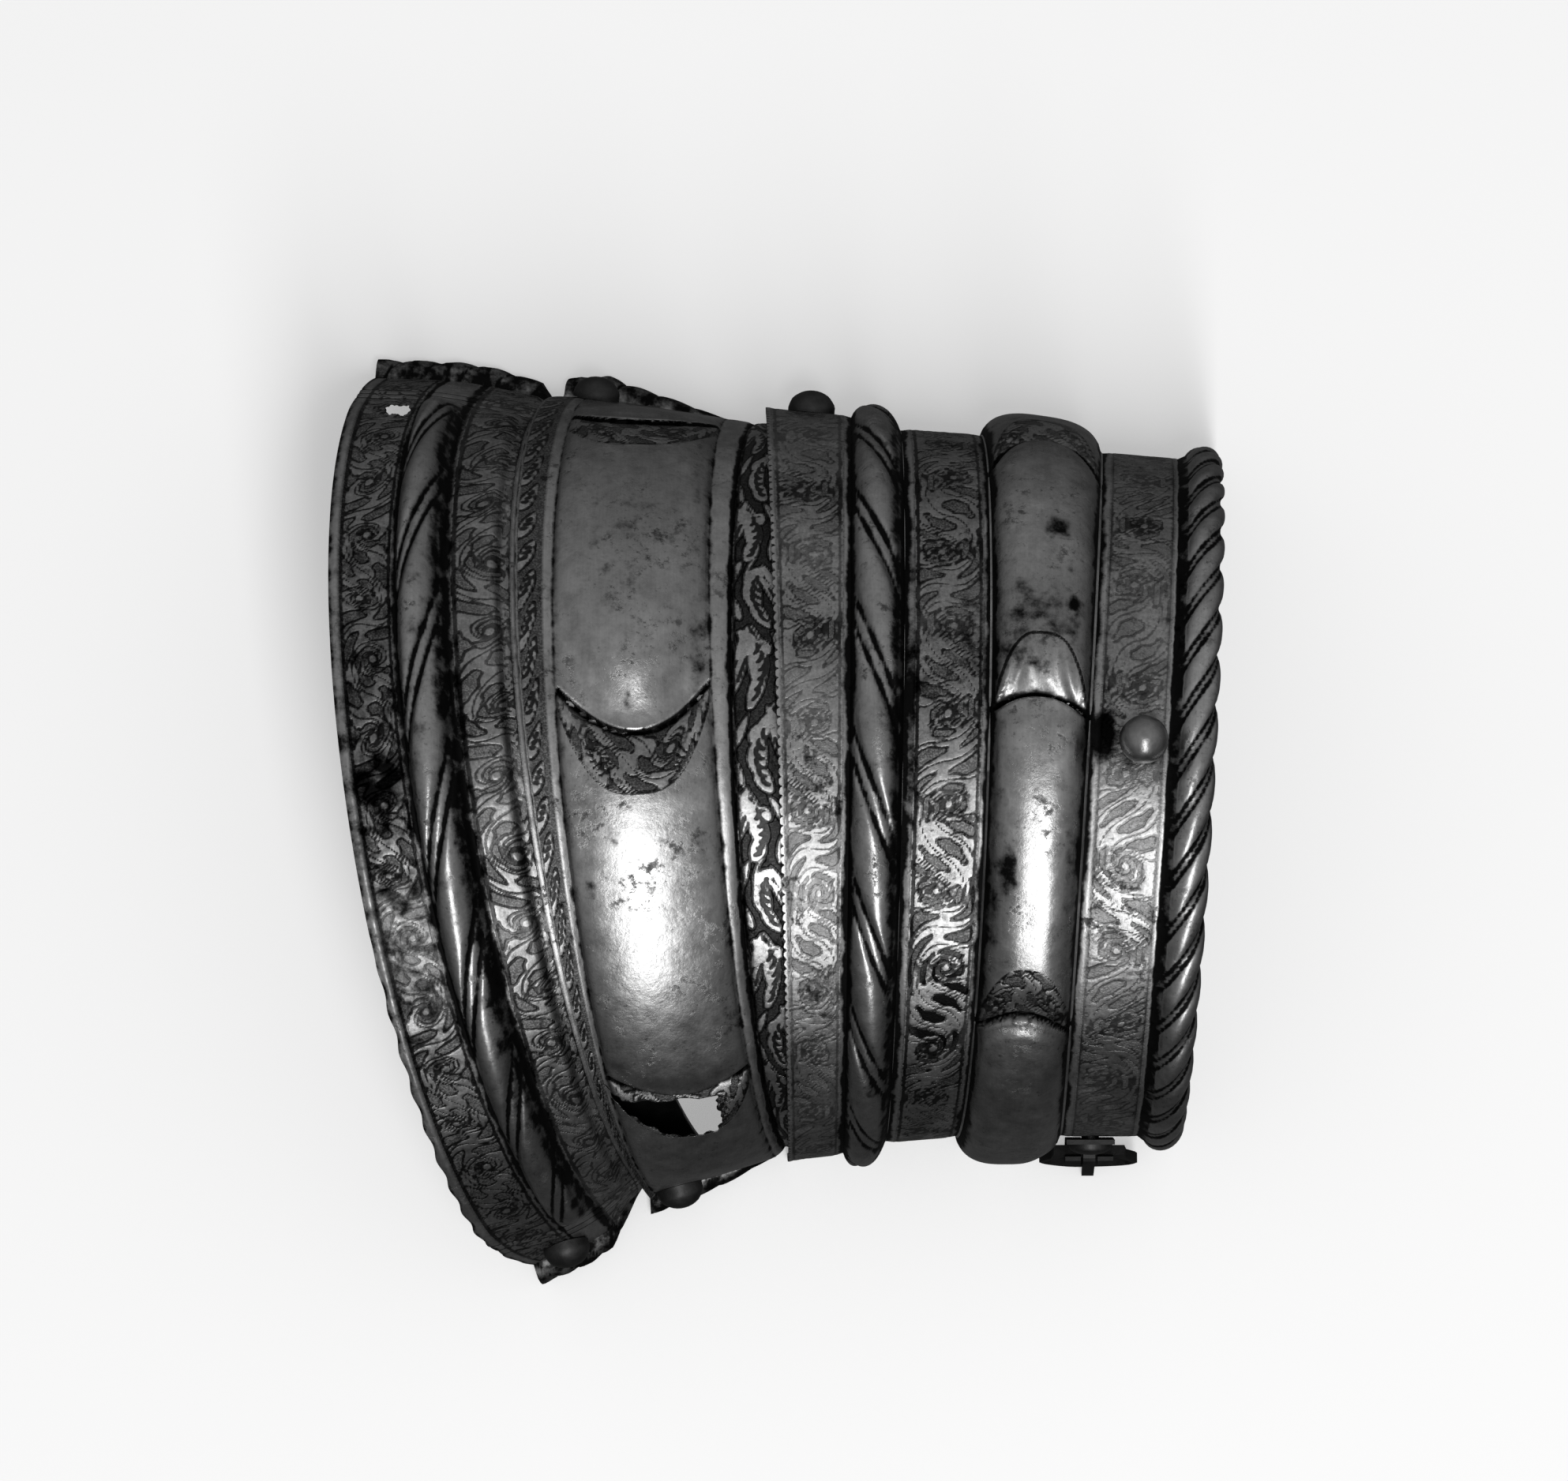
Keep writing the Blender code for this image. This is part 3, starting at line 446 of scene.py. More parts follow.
def scroll_tile_of(scroll):
    """A tile whose leaves follow the flow between whirls that turn by turns."""
    period = 2.0 * scroll.spacing * scroll.pairs
    along, across = tile_samples(period, scroll.half)
    part = math.tau * along / period
    x = along + HAND * (np.sin(2.0 * part + 1.0) + 0.8 * np.sin(3.0 * part + across / scroll.half))
    y = across + 0.4 * HAND * np.sin(3.0 * part + 2.0)
    unit = math.pi / (2.0 * scroll.spacing)
    sway = 1j * EYE_SWAY * scroll.half * unit
    place = (x + 1j * y) * unit
    flow = np.log(np.sin(place + sway) / np.sin(place - math.pi / 2.0 - sway))

    def stripes(mix):
        return mix[0] * flow.real + mix[1] * flow.imag

    def as_distance(values, floor):
        slope = np.hypot(*np.gradient(values, TILE_STEP))
        return values / np.maximum(slope, floor)

    side = across / scroll.half
    stem = stripes(scroll.stems) + scroll.outer * side * np.abs(side)
    eyes = np.stack([np.hypot(x - k * scroll.spacing, y + (-1) ** k * EYE_SWAY * scroll.half)
                     for k in range(-1, 2 * scroll.pairs + 2)]).min(axis=0) - EYE
    leafy = smooth(0.0, CALM - EYE, eyes)
    value = np.cos(stem) + scroll.cover[1] + leafy * (
        scroll.cover[0] * np.cos(stripes(scroll.breaks))
        + scroll.lobing * np.abs(np.sin(stripes(scroll.lobes))))
    leaf = np.clip(np.minimum(-as_distance(value, LEAF_SLOPE), eyes), -DEEPEST, DEEPEST)
    rib = np.abs(as_distance(np.sin(stem), RIB_SLOPE)) + np.clip(3.0 * leaf + 1.0, 0.0, None)
    rib = np.where(np.cos(stem) > 0.0, rib + 2.0 * OUTLINE_GAP, FAR_AWAY)
    line = np.minimum(np.abs(leaf) + OUTLINE_GAP, rib)
    line = np.where(eyes < EYE_RING, np.abs(eyes - EYE_RING) + OUTLINE_GAP, line)
    return Tile(period, scroll.half, leaf, line)


scroll_tile = scroll_tile_of(
    Scroll(4.7, 12.0, 2, (6.0, 2), 4.0, (-3.0, 4), (7.0, -4), (0.9, 0.1), 0.5))
fine_tile = scroll_tile_of(
    Scroll(5.6, 15.0, 2, (8.0, 2), 5.0, (-2.0, 3), (6.0, -4), (0.8, 0.25), 0.5))
for name, tile in (("scroll", scroll_tile), ("blade", blade_tile),
                   ("leaf row", leaf_row_tile), ("fine scroll", fine_tile)):
    print(f"{name} tile: {tile.period:.1f} x {2 * tile.half:.1f} mm,",
          f"{100 * (tile.leaf < 0).mean():.0f} % leaf")

# %% [markdown]
# ## Laying a tile in a band
# A tiled texture would repeat the drawing exactly and leave the surface smooth. Here
# the tile is read at each point of the band instead. A slow wander bends it a little,
# because no hand repeats a drawing exactly. The ground is then let down by a twentieth
# of a mm, as the acid did, and the cut lines by as much again.

# %% Etching a band
ETCH_DEPTH = 0.05    # mm
LINE_DEPTH = 0.05    # mm
BORDER = 0.5         # mm from a band's side to its border line
SIDE_ROOM = 0.97     # share of the band's width that a tile fills


def read_tile(values, tile, along, across):
    """Values of a tile at points along and across a band, blended between samples."""
    rows, lines = values.shape
    x = (along % tile.period) / tile.period * rows - 0.5
    y = np.clip((across + tile.half) / (2.0 * tile.half), 0.0, 1.0) * (lines - 1)
    x0 = np.floor(x).astype(int)
    y0 = np.clip(np.floor(y).astype(int), 0, lines - 2)
    fx, fy = x - x0, y - y0
    low = values[x0 % rows, y0] * (1 - fx) + values[(x0 + 1) % rows, y0] * fx
    high = values[x0 % rows, y0 + 1] * (1 - fx) + values[(x0 + 1) % rows, y0 + 1] * fx
    return low * (1 - fy) + high * fy


def lay_tile(grid, inside, tile, along, across, fill=0.0, wear=0.0, border=True):
    """Etch a tile where inside is true; across runs from -1 to 1 over the band."""
    wander_along = 0.9 * np.sin(along / 7.3 + 1.6 * across) + 1.2 * np.sin(along / 23.0)
    wander_across = 0.07 * np.sin(along / 8.1 + 1.0)
    place = np.clip(across * SIDE_ROOM + wander_across, -1.0, 1.0) * tile.half
    leaf = read_tile(tile.leaf, tile, along + wander_along, place)
    line = read_tile(tile.line, tile, along + wander_along, place)
    if border:
        to_side = (1.0 - np.abs(across)) * tile.half
        line = np.minimum(line, np.abs(to_side - BORDER))
        leaf = np.where(to_side < BORDER, to_side - BORDER, leaf)
    for name, values in (("leaf", leaf), ("line", line), ("band", 1.0),
                         ("fill", fill), ("wear", wear)):
        grid.marks[name] = np.where(inside, values, grid.marks[name])
    depth = ETCH_DEPTH * smooth(-0.1, 0.15, leaf) + LINE_DEPTH * smooth(0.35, 0.05, line)
    grid.relief -= np.where(inside, depth, 0.0)


def etch(grid, start, end, tile, fill=0.0, wear=0.0, offset=0.0, flip=1.0, border=True):
    """Etch the band between two stations all the way round."""
    across = flip * (2.0 * (grid.station - start) / (end - start) - 1.0)
    lay_tile(grid, np.abs(across) <= 1.0, tile, grid.along + offset, across, fill, wear, border)


edge_of_leaf = read_tile(blade_tile.leaf, blade_tile, np.linspace(0.0, 50.0, 200), np.zeros(200))
print(f"along the blade's middle {100 * (edge_of_leaf < 0.0).mean():.0f} % is leaf")


# %% [markdown]
# ## Roped ridges
# The smith first raised a plain ridge and then chased slanting grooves into it, so
# that it looks like a twisted rope. Two grooves run side by side with a thin fillet
# between them. Twisted curves laid side by side would make a real rope, but this one
# is beaten from the sheet and has no back. So it is relief too: on a round ridge a
# slanting line follows an arcsine, as it does on a real rope.

# %% Roped ridge
# stations of its sides, height, mm from strand to strand, mm that a strand runs along
# from side to side, where one strand lies, and the ridge's width (a roll has its
# whole girth for a width)
Rope = namedtuple("Rope", "start end height pitch run at width")
FILLET_GAP = 1.3     # mm between the two grooves beside a fillet
GROOVE_WIDTH = 0.40  # mm
GROOVE_DEPTH = 0.50  # mm
STRAND_ROUND = 0.7   # below 1, a strand is fuller than a sine


def rope_strands(turn, along, rope):
    """How far a strand swells, 0 to 1, and how deep its grooves are, 0 to 1."""
    phase = (along - rope.at - rope.run * turn) / rope.pitch
    part = np.abs(phase - np.round(phase))
    off_line = part * rope.pitch * rope.width / math.hypot(rope.width, rope.run)
    grooves = np.exp(-((off_line - FILLET_GAP / 2.0) / GROOVE_WIDTH) ** 2)
    return np.sin(math.pi * part) ** STRAND_ROUND, grooves


def add_mark(grid, name, values):
    """Keep the stronger of the old mark and the new one."""
    grid.marks[name] = np.maximum(grid.marks[name], values)


def across_ridge(grid, ridge):
    """-1 before a ridge or puff, 1 after it, and evenly from one to the other on it."""
    way = 2.0 * (grid.station - ridge.start) / (ridge.end - ridge.start) - 1.0
    return np.clip(way, -1.0, 1.0)


def inner_share(grid):
    """1 over the crest, falling to 0 near the long edges, where ridges die away."""
    return 1.0 - smooth(grid.edge.fade_from, grid.edge.fade_to, grid.share)


def raise_rope(grid, rope):
    """Raise a roped ridge between two stations."""
    across = across_ridge(grid, rope)
    dome = (1.0 - across ** 2) ** 0.75 * inner_share(grid)
    swell, grooves = rope_strands(np.arcsin(across) / math.pi, grid.along, rope)
    on_ridge = np.minimum(1.0, 2.0 * dome)
    grid.form += rope.height * dome * (0.74 + 0.26 * swell)
    grid.relief -= GROOVE_DEPTH * grooves * on_ridge
    # painted shade: the ridge's far side and its near foot are darkened as if turned from the
    # light, and the grooves are darkened too
    shaded = 0.80 * smooth(0.0, 0.8, across) + 0.4 * smooth(-0.6, -1.0, across)
    add_mark(grid, "dirt_and_shade", np.maximum(0.95 * grooves, shaded) * on_ridge)
    add_mark(grid, "polish", np.minimum(1.0, 2.5 * dome))


print(f"grooves {FILLET_GAP} mm apart and {GROOVE_DEPTH} mm deep")

# %% [markdown]
# ## Puffs and slashes
# A puff is a broad soft ridge, like the silk that was pulled through a slashed sleeve.
# Each slash cuts it into lobes. One lobe ends in a sharp lip, and a sunk crescent with
# etched work lies between it and the next lobe. Sculpting would give one puff by hand.
# A formula gives all of them from a few numbers, and rows and columns stay where they
# are, so the etching can run on into the crescents.

# %% Slashes
# stations of its sides, height, how square its section is, width in mm, its slashes
Puff = namedtuple("Puff", "start end height crown width slashes")
# where the sharp lip and the foot of the floor cross the puff's middle, how far each
# bows at the puff's sides, how deep the floor lies beside the lip, how far back the
# lip's lobe rounds down and by how much, the floor's pleats, and how many mm of the
# lip's middle the painted shade under the lip leaves bright (below zero, the painted
# shade reaches over the lip)
Slash = namedtuple("Slash", "lip lip_bow foot foot_bow depth round droop pleats bare")
LIP_BOW, FOOT_BOW = 2.0, 2.9   # a lip bends evenly, the foot's curve is more like a U
STEP = 0.45          # half the way over which the lip falls to the floor
DOME_ROUND = 0.6     # below 1, a puff's sides rise steeply
FLOOR_HOLLOW = 1.8   # above 1, the floor is hollow between foot and lip
SIDE_SHADE = 0.5      # painted shade along a puff's sides


def slash_lines(slash, puff, along, across):
    """How many mm each point lies past a slash's lip and past its foot, both above
    zero on its floor, how wide the slash is open there, and its middle line."""
    lines, leans = [], []
    for place, rise, power in ((slash.lip, slash.lip_bow, LIP_BOW),
                               (slash.foot, slash.foot_bow, FOOT_BOW)):
        lines.append(place + rise * np.abs(across) ** power)
        slope = power * rise * np.abs(across) ** (power - 1.0) / (puff.width / 2.0)
        leans.append(np.hypot(1.0, slope))
    side = 1.0 if slash.lip > slash.foot else -1.0
    lip = side * (lines[0] - along) / leans[0]
    foot = side * (along - lines[1]) / leans[1]
    return lip, foot, side * (lines[0] - lines[1]), (lines[0] + lines[1]) / 2.0


def mark_slash(grid, slash, across, inside, lip, foot, open_wide, sunk):
    """The dark outline of a slash, the painted shade under its lip, and its dull floor."""
    lip_shade_start = np.minimum(slash.bare, abs(slash.bare) * np.exp(-(across / 0.5) ** 2))
    outline = np.minimum(np.abs(lip - lip_shade_start), np.abs(foot)) + 3.0 * (1.0 - open_wide)
    grid.marks["line"] = np.where(
        inside, np.minimum(grid.marks["line"], outline), grid.marks["line"])
    shade = np.exp(-(np.clip(lip - 0.2, 0.0, None) / 0.8) ** 2) * open_wide
    shade *= smooth(-0.3, 0.0, lip - lip_shade_start) * (foot > 0.0)
    add_mark(grid, "dirt_and_shade", np.where(inside, 0.95 * shade, 0.0))
    grid.marks["polish"] *= 1.0 - 0.9 * np.where(inside, sunk, 0.0)


def pleat_floor(grid, slash, across, inside, floor, sunk):
    """A fan of pleats on a slash's floor, darker between them and bright on top."""
    fan = np.sin(slash.pleats * across / (0.4 + 0.6 * floor) + 0.9 * np.sin(5.0 * floor))
    grid.relief += np.where(inside, 0.15 * sunk * fan, 0.0)
    add_mark(grid, "dirt_and_shade", np.where(inside, 0.45 * sunk * np.clip(-fan, 0.0, 1.0), 0.0))
    grid.marks["polish"] += np.where(inside, 0.5 * sunk * np.clip(fan, 0.0, 1.0), 0.0)


print(f"a lip falls to its floor over {2.0 * STEP:.1f} mm")


# %% Puff
def raise_puff(grid, puff):
    """Raise the puff and sink its slashes; returns each crescent's depth and place."""
    across = across_ridge(grid, puff)
    inside = np.abs(across) < 1.0
    dome = (1.0 - np.abs(across) ** puff.crown) ** DOME_ROUND * inner_share(grid)
    strength = np.minimum(1.0, 1.4 * dome)
    add_mark(grid, "polish", np.where(inside, 1.0, 0.0))
    add_mark(grid, "dirt_and_shade", np.where(inside, SIDE_SHADE * smooth(0.72, 1.0, np.abs(across)), 0.0))
    height = puff.height * dome
    crescents = []
    for slash in puff.slashes:
        lip, foot, opening, middle = slash_lines(slash, puff, grid.along, across)
        open_wide = smooth(0.2, 3.0, opening)
        floor = np.clip(foot / np.maximum(lip + foot, 0.1), 0.0, 1.0) ** FLOOR_HOLLOW
        sunk = smooth(-STEP, STEP, lip) * smooth(-STEP, 1.5 * STEP, foot) * open_wide
        droop = smooth(-slash.round, -1.0, lip) * ((lip < STEP) & (foot > 0.0)) * open_wide
        height -= slash.depth * strength * sunk * floor
        height -= slash.droop * strength * droop
        mark_slash(grid, slash, across, inside, lip, foot, open_wide, sunk)
        if slash.pleats:
            pleat_floor(grid, slash, across, inside, floor, sunk)
        level = 2.0 * (grid.along - middle) / abs(slash.lip - slash.foot)
        crescents.append((np.where(inside, sunk, 0.0), level, across))
    grid.form += np.where(inside, height, 0.0)
    return crescents


# %% [markdown]
# ## Channels
# Beside a ridge the sheet turns sharply, and centuries of oil and dust have set hard
# there. A channel is a soft groove along one station that is darkened, partly as that
# dirt and partly as painted shade in the fold.
# The material could look for hollows by itself, but then every etched line would turn
# black as well.

# %% Channels and blots
def way_across(grid):
    """How far each point lies along the arm, in mm over the plain rings."""
    flat = on_rings(grid.table, np.zeros(grid.form.shape), grid.around)
    spacing = np.linalg.norm(np.diff(flat, axis=0), axis=2)
    return np.concatenate([np.zeros((1, spacing.shape[1])), np.cumsum(spacing, axis=0)])


def past_station(grid, station):
    """How many mm along the arm each point lies past a station."""
    across = way_across(grid)
    return across - np.array([np.interp(station, grid.stations, line) for line in across.T])


def channel(grid, station, width, depth, dirt_and_shade_level=0.9):
    """A groove along one station, darkened by dirt and painted shade, its width changing slowly
    round the arm.
    """
    swing = 1.0 + 0.35 * np.sin(grid.along / 9.0 + 3.0 * station) * np.sin(grid.along / 4.1)
    line = np.exp(-(past_station(grid, station) / (width * swing)) ** 2)
    grid.relief -= depth * line
    add_mark(grid, "dirt_and_shade", dirt_and_shade_level * line)


def blot(grid, station, along, size):
    """A soft spot round a place, from 1 to 0, its size given across and along in mm."""
    off = (past_station(grid, station) / size[0]) ** 2 + ((grid.along - along) / size[1]) ** 2
    return np.exp(-off)


# %% [markdown]
# ## From grid to sheet
# A beaten sheet has two faces. A Solidify modifier would copy every etched line onto
# the inside, so the two are built apart. The outer one takes every point of the grid.
# The inner one is plain hammered steel that only shows through holes and from behind,
# so it takes every fourth row and every second column. Five-sided faces join the two
# along the ends, and a strip of them closes each long edge. The mesh is then
# watertight, which is what the drilled holes need.

# %% Build a plate's mesh
INNER_ROWS = 4
SMOOTH_ANGLE = math.radians(50.0)


def placed(name, data):
    """An object made from its data and put in the scene."""
    made = bpy.data.objects.new(name, data)
    bpy.context.scene.collection.objects.link(made)
    return made


def grid_faces(numbers, outward=True):
    """The four-sided faces between the points of a grid."""
    first, along, beyond, beside = (
        numbers[:-1, :-1], numbers[1:, :-1], numbers[1:, 1:], numbers[:-1, 1:])
    corners = (first, along, beyond, beside) if outward else (first, beside, beyond, along)
    return np.stack(corners, -1).reshape(-1, 4).tolist()


def end_faces(fine, coarse, turned=1):
    """Five-sided faces between a row with every column and one with every second."""
    corners = (fine[:-2:2], fine[1:-1:2], fine[2::2], coarse[1:], coarse[:-1])
    return np.stack(corners[::turned], -1).tolist()


def plate_mesh(name, grid, roll=None, roll_marks=None):
    """One closed mesh: outer face, the roll if there is one, inner face, two caps."""
    outer = grid.points(0.0)
    if roll is not None:
        outer = np.concatenate([outer, roll])
    kept = list(range(0, len(grid.stations) - 1, INNER_ROWS)) + [len(grid.stations) - 1]
    inner = grid.points(-SHEET)[kept][:, ::2]
    rows, lines, _ = outer.shape
    out = np.arange(rows * lines).reshape(rows, lines)
    into = rows * lines + np.arange(inner.shape[0] * inner.shape[1]).reshape(inner.shape[:2])
    faces = grid_faces(out) + grid_faces(into, outward=False)
    faces += end_faces(out[0], into[0]) + end_faces(out[-1], into[-1], -1)
    for side, turned in ((0, -1), (-1, 1)):
        edge, behind = out[:, side].tolist(), into[:, side].tolist()
        loops = [edge[a:b + 1] + [behind[k + 1], behind[k]]
                 for k, (a, b) in enumerate(zip(kept, kept[1:]))]
        if roll is not None:
            loops.append(edge[kept[-1]:] + behind[-1:])
        faces += [loop[::turned] for loop in loops]

    mesh = bpy.data.meshes.new(name)
    points = np.concatenate([outer.reshape(-1, 3), inner.reshape(-1, 3)]) * MM
    mesh.from_pydata(points.tolist(), [], faces)
    mesh.shade_smooth()
    mesh.set_sharp_from_angle(angle=SMOOTH_ANGLE)
    for mark in MARKS:
        plain = FAR_AWAY if mark in ("leaf", "line") else 0.0
        values = np.full(len(points), plain, np.float32)
        values[:grid.form.size] = grid.marks[mark].ravel()
        if roll_marks is not None and mark in roll_marks:
            values[grid.form.size:rows * lines] = roll_marks[mark].ravel()
        mesh.attributes.new(mark, "FLOAT", "POINT").data.foreach_set("value", values)
    print(f"{name}: {rows} x {lines} points outside, {sum(len(f) - 2 for f in faces)} triangles")
    return placed(name, mesh)


# %% [markdown]
# ## Holes
# Rivets and the stud go through drilled holes. One rivet is lost and leaves its hole
# empty, another hole is torn, and rust has eaten through the lame's lowest slash.
# Deleting faces would leave rough steps and an open sheet. So all cutters of a plate
# are put in one mesh, and a Boolean modifier takes them away in one go. It is applied
# at once, and the plate stays one plain closed mesh.

# %% Cutters
DRILL_SIDES = 20
DRILL_REACH = 6.0  # mm to each side of a plate's face
FAR = 120.0        # mm from the middle, where a ray that looks for a plate's face starts


def face_at(piece, start, direction):
    """Where a ray first meets a piece, in metres, and the face's outward normal."""
    mesh = piece.data
    tree = BVHTree.FromPolygons([v.co for v in mesh.vertices], [p.vertices for p in mesh.polygons])
    place, normal, _, _ = tree.ray_cast(Vector(start) * MM, Vector(direction))
    return place, normal


def side_face(piece, x, z, side):
    """The outer face at the +Y side (side 1) or the -Y side (side -1)."""
    return face_at(piece, (x, side * FAR, z), (0.0, -side, 0.0))


def stand_on(place, normal):
    """A frame whose Z is a face's normal and whose X runs along the arm."""
    along = Vector((1.0, 0.0, 0.0))
    across = normal.cross(along).normalized()
    along = across.cross(normal).normalized()
    turn = Matrix((along, across, normal)).transposed().to_4x4()
    return Matrix.Translation(place) @ turn


def prism(bm, low, high):
    """A closed prism between two loops of points."""
    bottom = [bm.verts.new(point) for point in low]
    top = [bm.verts.new(point) for point in high]
    bm.faces.new(bottom[::-1])
    bm.faces.new(top)
    for a, b, c, d in zip(bottom, bottom[1:] + bottom[:1], top[1:] + top[:1], top):
        bm.faces.new((a, b, c, d))


def add_drill(bm, place, normal, radius):
    """A drill that stands on a face."""
    stand = stand_on(place, normal)
    angles = [math.tau * step / DRILL_SIDES for step in range(DRILL_SIDES)]
    prism(bm, *[
        [stand @ (Vector((radius * math.cos(a), radius * math.sin(a), height)) * MM)
         for a in angles] for height in (-DRILL_REACH, DRILL_REACH)])


def cut(piece, bm):
    """Take the cutters in a bmesh away from a piece and apply the result."""
    bmesh.ops.recalc_face_normals(bm, faces=bm.faces)
    mesh = bpy.data.meshes.new("cutters")
    bm.to_mesh(mesh)
    bm.free()
    cutters = placed("cutters", mesh)
    boolean = piece.modifiers.new("holes", "BOOLEAN")
    boolean.solver = "MANIFOLD"
    boolean.object = cutters
    bpy.context.view_layer.update()
    graph = bpy.context.evaluated_depsgraph_get()
    before = piece.data
    piece.data = bpy.data.meshes.new_from_object(piece.evaluated_get(graph))
    piece.modifiers.clear()
    bpy.data.objects.remove(cutters)
    print(f"{piece.name}: {len(before.polygons)} faces before the holes,",
          f"{len(piece.data.polygons)} after")


# %% [markdown]
# ## Borders, beads and stains
# The smith turned the long edges over a wire, so that no raw edge cuts the wearer,
# and filed the bead into a rope. Beside it lies a plain border between chased lines,
# where the etching stops. A bevel or an array of strands could make the bead. Here
# the grid's own columns go round it, so it stays part of the sheet. Stains and rubbed
# spots are laid from a list, each as a soft spot at a place on the plate.

# %% Borders, roped beads and lists of stains
EDGE_ROPE = 6.3    # one strand of a bead, in mm along the arm


def to_long_edge(grid):
    """How many mm each point lies from the nearer long edge."""
    return np.minimum(grid.along[:, -1:] - grid.along, grid.along - grid.along[:, :1])


def border_lines(grid, inset, gap):
    """Three chased lines across the bands, gap mm apart, inset mm from each long edge."""
    to_edge = to_long_edge(grid)
    grid.marks["band"] *= 1.0 - (np.abs(to_edge - inset) < gap)
    for place in (inset - gap, inset, inset + gap):
        grid.marks["line"] = np.minimum(grid.marks["line"], np.abs(to_edge - place))
        grid.relief -= 0.12 * np.exp(-((to_edge - place) / 0.35) ** 2)


def rope_beads(grid, bead_way):
    """Turn the beads, bead_way mm wide round their backs, into ropes."""
    to_edge = to_long_edge(grid)
    on_bead = 1.0 - smooth(bead_way - 1.2, bead_way, to_edge)
    phase = (way_across(grid) + 0.9 * to_edge) / EDGE_ROPE
    part = np.abs(phase - np.round(phase))
    grid.lobes = 0.76 + 0.24 * np.sin(math.pi * part) ** 0.6
    groove = np.exp(-(part * EDGE_ROPE / 0.5) ** 2) * on_bead
    add_mark(grid, "dirt_and_shade", np.maximum(0.95 * groove, 0.72 * on_bead))
    grid.marks["band"] *= 1.0 - on_bead
    grid.marks["line"] = np.where(on_bead > 0.5, FAR_AWAY, grid.marks["line"])


def stain_all(grid, spots, mark="dirt_and_shade"):
    """Lay a list of spots: station, mm from the crest, half sizes in mm, strength."""
    for station, along, size, strength in spots:
        add_mark(grid, mark, strength * blot(grid, station, along, size))


# %% [markdown]
# ## The flared plate
# A rope runs round the wide plate between two etched bands, and its free end is
# thickened into a rim. Modifiers could bend a flat strip into it, but a rope that
# leans and dies away is easier to add to the grid, one term at a time: first what the
# hammer raised, then what the acid took, then dirt.

# %% Flared plate
flared = PlateGrid(
    FLARED_RINGS, FLARED_HEMS, FLARED_EDGE,
    stations_of((0, 1, 30), (1, 2, 22), (2, 3, 22), (3, 4, 8), (4, 5, 6)), 681)
raise_rope(flared, Rope(1.0, 2.0, 3.1, 26.0, 36.0, -1.0, 8.5))
rim = (0.4 + 0.3 * smooth(0.0, 0.12, flared.station)) * (1.0 - smooth(0.12, 0.22, flared.station))
flared.form += rim * inner_share(flared)
BAND_LIFT = 1.15   # mm, so that the second band lies flatter than the step to the lame
over_band = np.clip(flared.station - 2.05, 0.0, 1.0)
flared.form += BAND_LIFT * over_band * (1.0 - smooth(0.80, 1.0, over_band)) * inner_share(flared)
# what runs on under the lame is knocked down, as room for the lame's deepest slash
UNDER_LAME = 3.4   # mm
under_lame = smooth(3.95, 4.4, flared.station) * blot(flared, 5.0, 16.5, (10.0, 14.0))
flared.form -= UNDER_LAME * under_lame
etch(flared, 0.14, 0.95, scroll_tile, wear=0.2, offset=9.0)
etch(flared, 2.07, 3.6, scroll_tile, wear=0.45, offset=31.0, flip=-1.0)
channel(flared, 1.0, 0.9, 0.15)
channel(flared, 2.0, 1.1, 0.2)
border_lines(flared, 20.0, 2.6)
rope_beads(flared, 6.5)
add_mark(flared, "dirt_and_shade", 0.7 * (1.0 - smooth(0.0, 0.16, flared.station)))
# painted shade: the end that runs on under the lame is darkened as if in the lame's shadow
add_mark(flared, "dirt_and_shade", smooth(3.7, 4.2, flared.station))
stain_all(flared, (
    (0.55, 7.0, (9.0, 9.0), 0.78), (0.5, 0.0, (14.0, 90.0), 0.56),
    (0.9, 30.0, (2.5, 40.0), 0.5), (1.55, 34.0, (5.0, 36.0), 0.42),
    (2.1, 12.0, (1.6, 30.0), 0.7), (1.7, -45.0, (3.0, 25.0), 0.6)))
stain_all(flared, ((0.55, -22.0, (10.0, 16.0), 0.8),), "wear")
EDGE_LOBE = 7.9    # mm from lobe to lobe along the filed end
LOBE_DEPTH = 0.5   # mm
near_end = (1.0 - smooth(0.0, 0.12, flared.station)) * smooth(-15.0, -35.0, flared.along)
flared.shift += LOBE_DEPTH * near_end * (0.5 - 0.5 * np.cos(math.tau * flared.along / EDGE_LOBE))
flared_plate = plate_mesh("flared_sheet", flared)

# %% [markdown]
# ## The middle lame
# A narrow plate lets the arm defence bend. Nearly all of it is one wide puff. A row
# of leaves runs along its free end, and a wavy blade on a blackened ground lies
# between the puff and the cuff. Each crescent under a lip has its own bit of scroll.
# Cutting the crescents out and setting in etched pieces would leave cracks, so they
# are only more marks on the same grid.

# %% Middle lame
lame = PlateGrid(
    LAME_RINGS, LAME_HEMS, LAME_EDGE,
    stations_of((0, 1, 13), (1, 2, 58), (2, 3, 8), (3, 4, 26), (4, 5, 5)), 641)
LAME_PUFF = Puff(1.0, 2.0, 2.5, 2.0, 22.0, (
    Slash(76.0, 5.0, 66.4, 9.0, 1.0, 4.0, 0.3, 0, -0.15),
    Slash(10.0, 8.3, 0.2, 15.7, 2.7, 13.0, 2.4, 0, 0.4),
    Slash(-54.5, 4.5, -64.8, 12.0, 1.8, 5.0, 0.5, 0, 0.4),
))
lame_crescents = raise_puff(lame, LAME_PUFF)
lame.form -= 0.35 * blot(lame, 1.47, 17.0, (5.0, 8.0))     # a knock above the middle lip
etch(lame, 0.03, 0.70, leaf_row_tile, fill=0.4, wear=0.2, border=False)
etch(lame, 3.0, 3.9, blade_tile, fill=0.85, offset=12.0)
channel(lame, 1.0, 0.5, 0.1, 0.7)
channel(lame, 2.0, 0.5, 0.1, 0.7)
